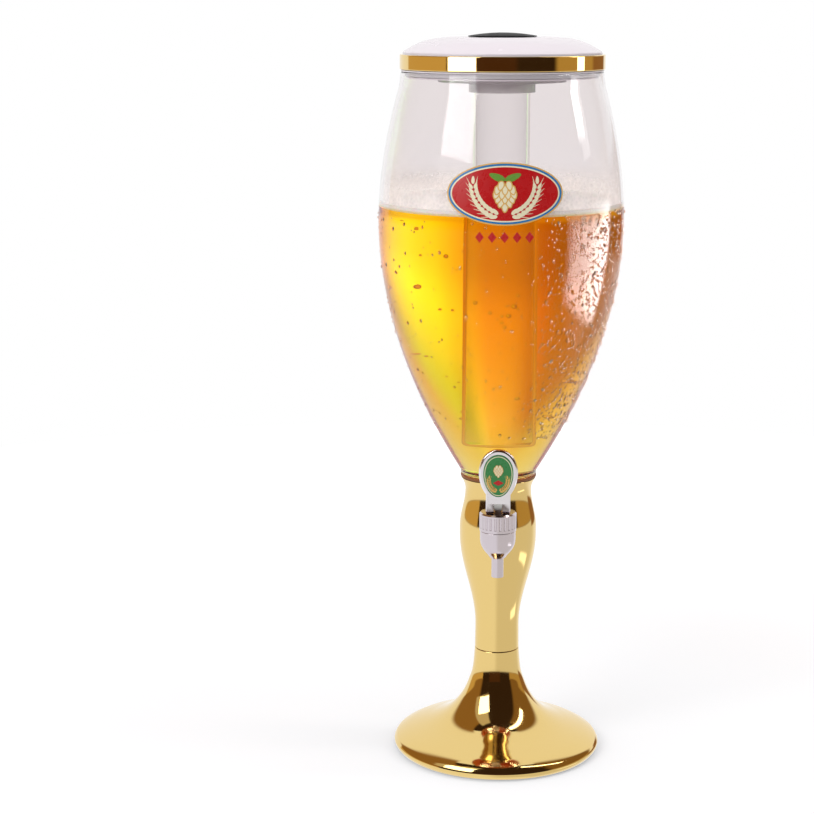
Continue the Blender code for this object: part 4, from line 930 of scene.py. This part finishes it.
flange_disc = turn_on_lathe(
    "flange_disc",
    [(flange_high.x, flange_high.z), (flange_high.x, flange_floor), (collar, flange_floor),
     (collar, flange_low.z), (hub_bore, flange_low.z), (hub_bore, flange_high.z - GASKET_ROOM),
     (collar, flange_high.z - GASKET_ROOM), (collar, flange_high.z), (flange_high.x, flange_high.z)])
round_edges(flange_disc, 0.3 * MM, segments=2)
frosted, frosted_shader = new_material("flange_plastic", (0.96, 0.90, 0.93), 0.3)
frosted_shader.inputs["Transmission Weight"].default_value = 0.5
frosted_shader.inputs["IOR"].default_value = 1.2
add_effect(frosted, frosted_shader, MOULDED_SKIN, "Normal", Scale=40.0, Depth=0.05 * MM)
finish(flange_disc, frosted, "lid", "clear_plastic", "tube_flange")
dress("tube_gasket", silicone)

# The ice cap
# A black plug with a low domed head, which closes the tube from above.  A rubber ring in the plug's groove
# holds it, and the head's thin edge can be lifted with a fingernail.

cap_low, cap_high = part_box("ice_cap")
cap_bottom = lid_high.z + GAP
CAP_EDGE = 0.6 * MM
CAP_STEPS = 16
PLUG_CLEARANCE = 1.15 * MM
PLUG_RADIUS = tube_bore - PLUG_CLEARANCE
PLUG_WALL = 3.9 * MM
cap_rise = cap_high.z - cap_bottom - CAP_EDGE
cap_outline = [(cap_high.x * i / CAP_STEPS, cap_high.z - cap_rise * (i / CAP_STEPS) ** 2)
               for i in range(CAP_STEPS + 1)]
cap_outline += [(cap_high.x, cap_bottom), (PLUG_RADIUS, cap_bottom), (PLUG_RADIUS, cap_low.z),
                (PLUG_RADIUS - PLUG_WALL, cap_low.z), (PLUG_RADIUS - PLUG_WALL, cap_bottom),
                (0.0, cap_bottom)]
cap_disc = turn_on_lathe("cap_disc", cap_outline, facets=128)
round_edges(cap_disc, 0.25 * MM, segments=2, angle=50.0)
cap_plastic = grained("cap_plastic", (0.012, 0.012, 0.013), 0.38, 0.52, 0.012 * MM)
cap_plastic.node_tree.nodes["Principled BSDF"].inputs["Specular IOR Level"].default_value = 0.04
finish(cap_disc, cap_plastic, "ice_cap", "black_plastic", "ice_cap")
dress("cap_oring", rubber)

# The tap
# Silver metallised plastic: a barrel whose cone ends in a short spout, with a flanged shank that goes
# through the stem.  A ribbed bonnet is screwed on the barrel over a silicone seat cup and the valve's stem.

# painted shade: the barrel and bonnet get a darker copy of the lever's silver plating, to dim the white room
# that they mirror
SHADED_SILVER = (0.64, 0.575, 0.615)
BARREL_RADIUS = 12.1 * MM
CONE_RISE = 3.5 * MM
CONE_DROP = 9.7 * MM
CONE_OUTLINE_SHARES = ((0.0, 1.0), (0.3, 0.95), (0.6, 0.79), (0.85, 0.57), (1.0, 0.45))
SPOUT_RADIUS = 4.1 * MM
SPOUT_BORE = 2.6 * MM
SHANK_BOSS_RADIUS = 7.6 * MM
SHANK_FLANGE_RADIUS = 9.0 * MM
SHANK_FLANGE_THICKNESS = 1.8 * MM
WASHER_THICKNESS = 2.5 * MM
BONNET_HEIGHT = 12.5 * MM
bonnet_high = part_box("tap_bonnet")[1]
BONNET_RADIUS = bonnet_high.x
bonnet_bottom = bonnet_high.z - BONNET_HEIGHT
barrel_top = bonnet_bottom - GAP
cone_top = TAP_HEIGHT + CONE_RISE
cone = fair_line([(BARREL_RADIUS * across, cone_top - (CONE_RISE + CONE_DROP) * down)
                  for down, across in CONE_OUTLINE_SHARES], 5)
cone_end = cone[-1][1]
tap_housing = turn_on_lathe(
    "tap_housing",
    [(0.0, barrel_top), (BARREL_RADIUS, barrel_top), (BARREL_RADIUS, cone_top + 0.6 * MM)] + cone
    + [(SPOUT_RADIUS + 0.5 * MM, cone_end - 0.5 * MM), (SPOUT_RADIUS, cone_end - 0.5 * MM),
       (SPOUT_RADIUS, tap_low.z), (SPOUT_BORE, tap_low.z), (SPOUT_BORE, cone_end), (0.0, cone_end)],
    facets=96, y=-TAP_REACH)
round_edges(tap_housing, 0.3 * MM, segments=3)
wall_face = -(stem_radius(TAP_HEIGHT) + GAP + WASHER_THICKNESS + GAP)
shank_parts = [rod_along_y("shank_boss", SHANK_BOSS_RADIUS, -TAP_REACH, wall_face, TAP_HEIGHT),
               rod_along_y("shank_flange", SHANK_FLANGE_RADIUS, wall_face - SHANK_FLANGE_THICKNESS, wall_face,
                           TAP_HEIGHT),
               rod_along_y("shank", SHANK_RADIUS, -TAP_REACH, tap_high.y, TAP_HEIGHT)]
round_edges(shank_parts[1], 0.4 * MM)
combine(tap_housing, shank_parts, "UNION")
shaded_silver = plated("silver_plating", SHADED_SILVER, 0.10, 0.20)
finish(tap_housing, shaded_silver, "root", "silver_plating", "tap_body")

BONNET_BEVEL = 1.0 * MM
RIB_COUNT = 24
RIB_GROOVE = 0.85 * MM
RIB_STAND_OFF = 0.35 * MM         # of a groove's axis from the bonnet's side
RIB_MARGINS = 4.0 * MM            # above and below the grooves, together
groove_circle = BONNET_RADIUS + RIB_STAND_OFF
tap_collar = turn_on_lathe(
    "tap_collar", [(0.0, bonnet_high.z), (BONNET_RADIUS - BONNET_BEVEL, bonnet_high.z),
                   (BONNET_RADIUS, bonnet_high.z - BONNET_BEVEL), (BONNET_RADIUS, bonnet_bottom),
                   (0.0, bonnet_bottom)], facets=144, y=-TAP_REACH)
grooves = []
for number in range(RIB_COUNT):
    rib_turn = math.tau * (number + 0.5) / RIB_COUNT
    bpy.ops.object.select_all(action="DESELECT")
    bpy.ops.mesh.primitive_cylinder_add(
        vertices=12, radius=RIB_GROOVE, depth=BONNET_HEIGHT - RIB_MARGINS,
        location=(groove_circle * math.sin(rib_turn), -TAP_REACH - groove_circle * math.cos(rib_turn),
                  bonnet_bottom + BONNET_HEIGHT / 2))
    grooves.append(bpy.context.object)
combine(tap_collar, [join_pieces(grooves, "rib_grooves")], "DIFFERENCE")
finish(tap_collar, shaded_silver, "root", "silver_plating", "tap_bonnet")
dress("tap_washer", rubber)
dress("tap_seat_cup", silicone)
dress("shank_gasket", rubber)
dress("shank_nut", steel)
dress("valve_stem", steel)
dress("lever_pin", steel)

# The lever
# One silver moulding: an oval plate on a neck whose two legs straddle the valve's stem on a pin.  The legs'
# rounded heels lift the stem as the plate is pulled forward.

pin_low, pin_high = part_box("lever_pin")
pin = (pin_low + pin_high) / 2
LEVER_WIDTH = 16.4 * MM
LEVER_FACE = 8.0 * MM
LEVER_BACK = 3.4 * MM
LEVER_THICKNESS = 4.4 * MM
HEEL_DROP = 3.2 * MM
HEEL_ADVANCE = 4.58 * MM
LEVER_TILT = math.radians(50.0)
SLOT_HALF_WIDTH = 3.0 * MM
SLOT_TOP = 3.7 * MM
SLOT_HEIGHT = 20.0 * MM
SLOT_REACH = 30.0 * MM
PLATE_HALF_WIDTH = 13.0 * MM
PLATE_HALF_HEIGHT = 17.8 * MM
PLATE_RISE = 23.0 * MM
EGG_SHARE = 0.1
BADGE_HALF_WIDTH = 10.0 * MM
BADGE_HALF_HEIGHT = 14.2 * MM
BADGE_RECESS = 0.8 * MM
BADGE_THICKNESS = 1.3 * MM
LEVER_SILVER = (0.82, 0.79, 0.83)


def slab(name, outline, thickness, turn, place):
    """A flat outline made a slab of this thickness, turned and put in its place."""
    bpy.ops.object.select_all(action="DESELECT")
    bpy.ops.mesh.primitive_circle_add(vertices=len(outline), radius=1.0, fill_type="NGON")
    piece = bpy.context.object
    piece.name = piece.data.name = name
    for vertex, (across, up) in zip(piece.data.vertices, outline):
        vertex.co = (across, up, -thickness / 2)
    bpy.ops.object.mode_set(mode="EDIT")
    bpy.ops.mesh.select_all(action="SELECT")
    bpy.ops.mesh.extrude_region_move(TRANSFORM_OT_translate={"value": (0.0, 0.0, thickness)})
    bpy.ops.mesh.select_all(action="SELECT")
    bpy.ops.mesh.normals_make_consistent(inside=False)
    bpy.ops.object.mode_set(mode="OBJECT")
    piece.data.transform(Matrix.Translation(place) @ turn)
    settle(piece)
    return piece


def egg(half_width, half_height, points=72):
    """An oval, fuller above its middle."""
    return [(-half_width * math.sin(a) * (1.0 + EGG_SHARE * math.cos(a)), half_height * math.cos(a))
            for a in (math.tau * i / points for i in range(points))]


FACING = Matrix(((1, 0, 0, 0), (0, 0, -1, 0), (0, 1, 0, 0), (0, 0, 0, 1)))      # drawn from the front
FROM_SIDE = Matrix(((0, 0, -1, 0), (-1, 0, 0, 0), (0, 1, 0, 0), (0, 0, 0, 1)))  # drawn from the side
HEEL_STEPS = 14
heel = []
for i in range(HEEL_STEPS + 1):
    tilt = LEVER_TILT * i / HEEL_STEPS
    reach = HEEL_DROP + HEEL_ADVANCE * tilt
    heel.append((reach * math.sin(tilt) + HEEL_ADVANCE * math.cos(tilt),
                 -(reach * math.cos(tilt) - HEEL_ADVANCE * math.sin(tilt))))
plate_back = LEVER_FACE - LEVER_THICKNESS
lever_side = [(-LEVER_BACK / 2, -HEEL_DROP)] + heel
lever_side += [(LEVER_FACE, SLOT_TOP), (LEVER_FACE, SLOT_TOP + 2 * LEVER_THICKNESS),
               (plate_back, SLOT_TOP + 2 * LEVER_THICKNESS),
               (between(-LEVER_BACK, plate_back, 0.6), SLOT_TOP + LEVER_THICKNESS), (-LEVER_BACK, SLOT_TOP),
               (-LEVER_BACK, -HEEL_DROP / 2)]
lever_arm = slab("lever_arm", lever_side, LEVER_WIDTH, FROM_SIDE, pin)
round_edges(lever_arm, 0.5 * MM, segments=3, angle=50.0)
plate_middle = pin + Vector((0.0, -(LEVER_FACE + plate_back) / 2, PLATE_RISE))
plate = slab("lever_plate", egg(PLATE_HALF_WIDTH, PLATE_HALF_HEIGHT), LEVER_THICKNESS, FACING, plate_middle)
round_edges(plate, 1.5 * MM, segments=5)
combine(lever_arm, [plate], "UNION")
bpy.ops.object.select_all(action="DESELECT")
bpy.ops.mesh.primitive_cube_add(size=1.0)
slot_bar = bpy.context.object
slot_bar.dimensions = (2 * SLOT_HALF_WIDTH, SLOT_REACH, SLOT_HEIGHT)
slot_bar.location = pin + Vector((0.0, 0.0, SLOT_TOP - SLOT_HEIGHT / 2))
settle(slot_bar)
round_edges(slot_bar, 1.0 * MM, segments=3)
face = pin + Vector((0.0, -LEVER_FACE, PLATE_RISE))
recess = slab("badge_recess", egg(BADGE_HALF_WIDTH + GAP, BADGE_HALF_HEIGHT + GAP), 2 * BADGE_RECESS, FACING,
              face)
combine(lever_arm, [slot_bar, recess], "DIFFERENCE")
finish(lever_arm, plated("lever_silver", LEVER_SILVER, 0.10, 0.20), "lever", "silver_plating", "tap_lever")

# The badge
# A green printed oval set into the lever's plate, with a cream line, a hop cone and two ears of barley in
# miniature.  It carries no lettering.

BADGE_GREEN = (0.035, 0.24, 0.06)
LINE_INSET = 0.7 * MM
FIELD_INSET = 1.2 * MM
BADGE_HOP_RISE = 3.6 * MM
BADGE_HOP_SIZE = 9.0 * MM
BADGE_EAR_FROM_MIDDLE = 1.0 * MM
BADGE_EAR_DROP = 10.2 * MM
BADGE_EAR_GRAIN = 2.7 * MM
BADGE_EAR_GRAINS = 7
BADGE_EAR_LEAN = math.radians(66.0)
BADGE_EAR_BEND = math.radians(78.0)
BADGE_LOZENGE_DROP = 4.6 * MM
BADGE_LOZENGE_HALF_WIDTH = 3.6 * MM
BADGE_LOZENGE_HALF_HEIGHT = 1.9 * MM
badge_face = face.y + BADGE_RECESS - GAP - BADGE_THICKNESS
badge_middle = Vector((0.0, badge_face + BADGE_THICKNESS / 2, face.z))
badge_oval = slab("badge_oval", egg(BADGE_HALF_WIDTH, BADGE_HALF_HEIGHT), BADGE_THICKNESS, FACING,
                  badge_middle)
round_edges(badge_oval, 0.3 * MM)
finish(badge_oval, ink("badge_green", BADGE_GREEN), "lever", "badge", "lever_badge")


def on_badge(x, z, layer):
    """A place on the badge's face, a few layers of ink in front of it."""
    return Vector((x, badge_face - PRINT_LAYER * (layer + 1.0), z))


badge_ring = [(egg(BADGE_HALF_WIDTH - edge, BADGE_HALF_HEIGHT - edge), layer)
              for edge, layer in ((LINE_INSET, 0), (FIELD_INSET, 1))]
badge_ring = [([(x, z + face.z) for x, z in outline], layer) for outline, layer in badge_ring]
print_group("badge_line", badge_ring[:1], on_badge, CREAM, "lever", rings=4)
print_group("badge_field", badge_ring[1:], on_badge, BADGE_GREEN, "lever", rings=4)
badge_rims, badge_faces = hop_cone(0.0, face.z + BADGE_HOP_RISE, BADGE_HOP_SIZE, layer=4)
print_group("badge_hop", badge_rims, on_badge, PRINT_GOLD, "lever")
print_group("badge_hop_faces", badge_faces, on_badge, CREAM, "lever")
badge_ears = []
for side in (-1.0, 1.0):
    badge_ears += barley_ear(side * BADGE_EAR_FROM_MIDDLE, face.z - BADGE_EAR_DROP, BADGE_EAR_GRAIN,
                             side * BADGE_EAR_LEAN, -side * BADGE_EAR_BEND, BADGE_EAR_GRAINS, layer=2)
print_group("badge_barley", badge_ears, on_badge, PRINT_GOLD, "lever")
badge_lozenge = oval(0.0, face.z - BADGE_LOZENGE_DROP, BADGE_LOZENGE_HALF_WIDTH, BADGE_LOZENGE_HALF_HEIGHT, 4)
print_group("badge_lozenge", [(badge_lozenge, 3)], on_badge, RED, "lever")

# The studio
# A pale floor, soft lamps and a world that is white to the camera.  To gold the room shows white walls with
# dark and bright cards round the tower, and behind the drink stands a coloured backdrop.

FLOOR_RADIUS = 1.1
FLOOR_PAINT = 0.80
FLOOR_GLOW = (0.40, 0.85)         # near the foot and near the floor's edge
FLOOR_FADE = (0.25, 0.99)         # distances from the tower between which the glow changes
WORLD_FILL = 0.47
CARD_END = 2.5
bpy.ops.object.select_all(action="DESELECT")
bpy.ops.mesh.primitive_circle_add(vertices=96, radius=FLOOR_RADIUS, fill_type="NGON")
floor = bpy.context.object
floor.name = "floor"
floor_paint, floor_shader = new_material("floor_paint", (FLOOR_PAINT,) * 3, 0.9)
floor_shader.inputs["Specular IOR Level"].default_value = 0.0
floor_shader.inputs["Emission Color"].default_value = (1.0, 1.0, 1.0, 1.0)
floor_tree = floor_paint.node_tree
floor_path = add_node(floor_tree, "LightPath")
floor_place = add_node(floor_tree, "TexCoord")
floor_distance = add_node(floor_tree, "VectorMath", {0: floor_place.outputs["Object"]}, operation="LENGTH")
floor_fade = add_node(floor_tree, "MapRange",
                      {"Value": floor_distance.outputs["Value"], "From Min": FLOOR_FADE[0],
                       "From Max": FLOOR_FADE[1], "To Min": FLOOR_GLOW[0], "To Max": FLOOR_GLOW[1]},
                      interpolation_type="SMOOTHSTEP")
floor_glow = add_node(floor_tree, "Math", {0: floor_path.outputs["Is Camera Ray"],
                                           1: floor_fade.outputs["Result"]}, operation="MULTIPLY")
floor_tree.links.new(floor_glow.outputs["Value"], floor_shader.inputs["Emission Strength"])
let_through(floor_paint, floor_shader, ("Is Glossy Ray", "Is Transmission Ray"), (1.0, 1.0, 1.0))
floor.data.materials.append(floor_paint)

world = bpy.data.worlds.new("studio")
bpy.context.scene.world = world
world.use_nodes = True
air = world.node_tree
background = air.nodes["Background"]
background.inputs["Strength"].default_value = 1.0
way = add_node(air, "TexCoord")
way_parts = add_node(air, "SeparateXYZ", {"Vector": way.outputs["Generated"]})
MIX_FIRST, MIX_SECOND, MIX_RESULT = 6, 7, 2     # the Mix node's sockets for colours


def air_math(operation, *values):
    """Arithmetic in the world's nodes, on numbers or other nodes' outputs."""
    return add_node(air, "Math", dict(enumerate(values)), operation=operation).outputs["Value"]


def air_step(value, low, high, start=0.0, end=1.0):
    """A smooth step of an angle between two limits in degrees."""
    limits = {"From Min": math.radians(low), "From Max": math.radians(high), "To Min": start, "To Max": end}
    step = add_node(air, "MapRange", {"Value": value, **limits}, interpolation_type="SMOOTHSTEP")
    return step.outputs["Result"]


def air_mix(share, *colours):
    """Mix two colours, each a colour or another node's output."""
    first, second = ((*colour, 1.0) if isinstance(colour, tuple) else colour for colour in colours)
    return add_node(air, "Mix", {0: share, MIX_FIRST: first, MIX_SECOND: second},
                    data_type="RGBA").outputs[MIX_RESULT]


def air_scale(colour, factor):
    return add_node(air, "VectorMath", {0: colour, "Scale": factor}, operation="SCALE").outputs["Vector"]


def card(bearings, heights, edge):
    """Where a card stands: between two bearings and two heights in degrees, with soft edges at its sides."""
    (left, right), (low, high) = bearings, heights
    sides = air_math("MULTIPLY", air_step(bearing, left - edge, left),
                     air_step(bearing, right, right + edge, 1.0, 0.0))
    ends = air_step(rise, low - CARD_END, low)
    if high < 90.0:
        ends = air_math("MULTIPLY", ends, air_step(rise, high, high + CARD_END, 1.0, 0.0))
    return air_math("MULTIPLY", sides, ends)


x_way, y_way, z_way = (way_parts.outputs[axis] for axis in "XYZ")
bearing = air_math("ARCTAN2", x_way, air_math("MULTIPLY", y_way, -1.0))
rise = air_math("ARCSINE", z_way)
# bearings from the tap's side towards +X, heights, colour, and how soft the sides are
CARDS = (((8.0, 118.0), (-70.0, -5.0), (0.80, 0.78, 0.74), 25.0),
         ((-122.0, 122.0), (-3.5, 90.0), (0.035, 0.018, 0.010), 2.5),
         ((-28.0, 12.0), (-3.5, 15.0), (0.07, 0.028, 0.012), 8.0),
         ((-128.0, -66.0), (-3.5, 8.0), (0.65, 0.44, 0.17), 3.0),
         ((66.0, 122.0), (-3.5, 8.0), (0.50, 0.33, 0.12), 8.0),
         ((-128.0, -70.0), (8.0, 66.0), (0.30, 0.16, 0.05), 12.0),
         ((70.0, 122.0), (8.0, 66.0), (0.24, 0.13, 0.04), 12.0),
         ((-72.0, -33.0), (24.0, 72.0), (0.60, 0.52, 0.40), 6.0),
         ((124.0, 150.0), (-9.0, 1.0), (0.30, 0.15, 0.06), 8.0),
         ((80.0, 104.0), (-30.0, -26.5), (1.8, 1.8, 1.8), 8.0))
room = (1.0, 1.0, 1.0)
for bearings, heights, shade, edge in CARDS:
    room = air_mix(card(bearings, heights, edge), room, shade)

# the backdrop behind the drink: (bearing in degrees from the tower's back towards +X, colour)
BEHIND = ((-180, (1.0, 1.0, 1.0)), (-88, (1.0, 1.0, 1.0)), (-60, (0.30, 0.25, 0.18)), (-43, (0.31, 0.27, 0.2)),
          (-14, (0.51, 0.42, 0.28)), (-10, (0.66, 0.47, 0.32)), (-3.5, (0.88, 0.88, 0.88)),
          (3.5, (1.0, 1.04, 1.0)), (8, (1.25, 1.8, 0.9)), (16, (1.5, 3.0, 1.0)), (27, (1.6, 3.3, 1.0)),
          (37, (1.5, 2.7, 1.0)), (54, (1.0, 1.0, 0.9)), (80, (1.0, 1.0, 1.0)), (180, (1.0, 1.0, 1.0)))
BEHIND_BRIGHTEST = 4.0            # scales the ramp's colours, which go no higher than 1
BEHIND_BELOW = (1.02, 1.25, 1.15)
BEHIND_EMPTY_PART = (0.93, 0.93, 0.94)
back_bearing = air_math("ARCTAN2", x_way, y_way)
turn_share = air_math("MULTIPLY_ADD", back_bearing, 1.0 / math.tau, 0.5)
ramp = add_node(air, "ValToRGB", {"Fac": turn_share})
while len(ramp.color_ramp.elements) < len(BEHIND):
    ramp.color_ramp.elements.new(0.5)
for stop, (degrees, colour) in zip(ramp.color_ramp.elements, BEHIND):
    stop.position = degrees / 360.0 + 0.5
for stop, (degrees, colour) in zip(ramp.color_ramp.elements, BEHIND):
    stop.color = (*(part / BEHIND_BRIGHTEST for part in colour), 1.0)
dimming = air_math("MULTIPLY", air_step(back_bearing, 3.0, 12.0), air_step(rise, -4.0, 9.0, 0.0, 0.55))
lit = air_scale(air_scale(ramp.outputs["Color"], BEHIND_BRIGHTEST),
                air_math("MULTIPLY", air_step(rise, -3.5, 1.0, 1.0, 1.38), air_math("SUBTRACT", 1.0, dimming)))
level = air_math("MULTIPLY", air_step(rise, -17.0, -11.0), air_step(rise, 7.0, 13.0, 1.0, 0.0))
# light passes four faces through the bowl's empty part, eight where the tube stands in it, and other numbers
# above four through the drink
paths = add_node(air, "LightPath")
faces_passed = paths.outputs["Transmission Depth"]
in_drink = air_math("SUBTRACT", air_math("GREATER_THAN", faces_passed, 4.5),
                    air_math("COMPARE", faces_passed, 8.0, 0.1))
behind = air_mix(in_drink, BEHIND_EMPTY_PART, air_mix(level, BEHIND_BELOW, lit))

seen = air_mix(paths.outputs["Is Glossy Ray"], (WORLD_FILL, WORLD_FILL, WORLD_FILL * 1.03), room)
seen = air_mix(paths.outputs["Is Transmission Ray"], seen, behind)
seen = air_mix(paths.outputs["Is Camera Ray"], seen, (1.0, 1.0, 1.0))
air.links.new(seen, background.inputs["Color"])


def add_softbox(name, bearing_degrees, distance, heights, width, glow, mirrored_by=(), edge_share=0.0):
    """An upright soft lamp at a bearing from the tap's side.  Glow is the brightness that it shows.

    A lamp that is mirrored by some pieces only gives them highlights, soft at the edges, and lights nothing.
    """
    low, high = heights
    turn = math.radians(bearing_degrees)
    place = Vector((distance * math.sin(turn), -distance * math.cos(turn), (low + high) / 2))
    lamp = bpy.data.lights.new(name, "AREA")
    lamp.shape = "RECTANGLE"
    lamp.size, lamp.size_y = width, high - low
    lamp.energy = glow * math.pi * lamp.size * lamp.size_y
    box = bpy.data.objects.new(name, lamp)
    bpy.context.scene.collection.objects.link(box)
    box.location = place
    box.rotation_euler = Vector((-place.x, -place.y, -0.3 * place.z)).to_track_quat("-Z", "Y").to_euler()
    box.visible_camera = False
    box.visible_transmission = False
    if mirrored_by:
        box.visible_diffuse = False
        receivers = bpy.data.collections.new(name)
        for piece in mirrored_by:
            receivers.objects.link(piece)
        box.light_linking.receiver_collection = receivers
        soften_edges(lamp, edge_share)
    return box


def soften_edges(lamp, edge_share):
    """Fade a lamp out towards its four edges."""
    lamp.use_nodes = True
    tree = lamp.node_tree
    place = add_node(tree, "NewGeometry")
    parts = add_node(tree, "SeparateXYZ", {"Vector": place.outputs["Parametric"]})
    fades = []
    for axis in "XY":
        from_middle = add_node(tree, "Math", {0: parts.outputs[axis], 1: 0.5}, operation="SUBTRACT")
        distance = add_node(tree, "Math", {0: from_middle.outputs["Value"]}, operation="ABSOLUTE")
        fades.append(add_node(tree, "MapRange", {"Value": distance.outputs["Value"], "From Min": 0.5,
                                                 "From Max": 0.5 - edge_share, "To Min": 0.0, "To Max": 1.0},
                              interpolation_type="SMOOTHSTEP").outputs["Result"])
    both = add_node(tree, "Math", dict(enumerate(fades)), operation="MULTIPLY")
    tree.links.new(both.outputs["Value"], tree.nodes["Emission"].inputs["Strength"])


wet = (bowl_vessel, dew)
add_softbox("left_softbox", -44.0, 0.96, (0.51, 1.17), 0.62, 3.5)
add_softbox("right_strip", 87.0, 0.50, (0.47, 1.25), 0.11, 5.0)
add_softbox("left_shine", -44.0, 0.97, (0.63, 1.25), 0.60, 28.0, wet, 0.03)
add_softbox("right_curve", 83.0, 0.49, (0.51, 1.05), 0.11, 30.0, wet, 0.10)
add_softbox("right_shine", 87.0, 0.50, (0.06, 0.40), 0.56, 28.0, wet, 0.22)
add_softbox("band_left", -44.0, 0.95, (0.30, 0.64), 0.56, 5.0, (lid_trim,), 0.02)
add_softbox("band_right", 91.0, 0.48, (0.40, 0.57), 0.10, 5.0, (lid_trim,), 0.05)
top_lamp = add_softbox("top_softbox", 0.0, 0.01, (1.4, 2.6), 1.2, 1.05)
top_lamp.rotation_euler = (0.0, 0.0, 0.0)
top_lamp.visible_glossy = False

# The camera
# It stands 1.33 m in front of the tower, just above the lid, and looks down and a little to the left, so that
# the tower stands right of the picture's middle.

PICTURE_WIDTH = 814.0
FOCAL_PIXELS = 1959.5
CAMERA_DISTANCE = 1.33
CAMERA_HEIGHT = 0.52
CAMERA_PITCH = math.radians(11.65)
CAMERA_YAW = math.radians(2.745)
lens = bpy.data.cameras.new("camera")
lens.sensor_width = 36.0
lens.lens = lens.sensor_width * FOCAL_PIXELS / PICTURE_WIDTH
camera = bpy.data.objects.new("camera", lens)
camera.location = (0.0, -CAMERA_DISTANCE, CAMERA_HEIGHT)
camera.rotation_euler = (math.pi / 2 - CAMERA_PITCH, 0.0, CAMERA_YAW)
bpy.context.scene.collection.objects.link(camera)
bpy.context.scene.camera = camera
bpy.context.scene.view_settings.view_transform = "Standard"
cycles = bpy.context.scene.cycles
cycles.max_bounces = 24
cycles.transmission_bounces = 20
cycles.glossy_bounces = 8
cycles.transparent_max_bounces = 24
cycles.caustics_refractive = False
cycles.caustics_reflective = False
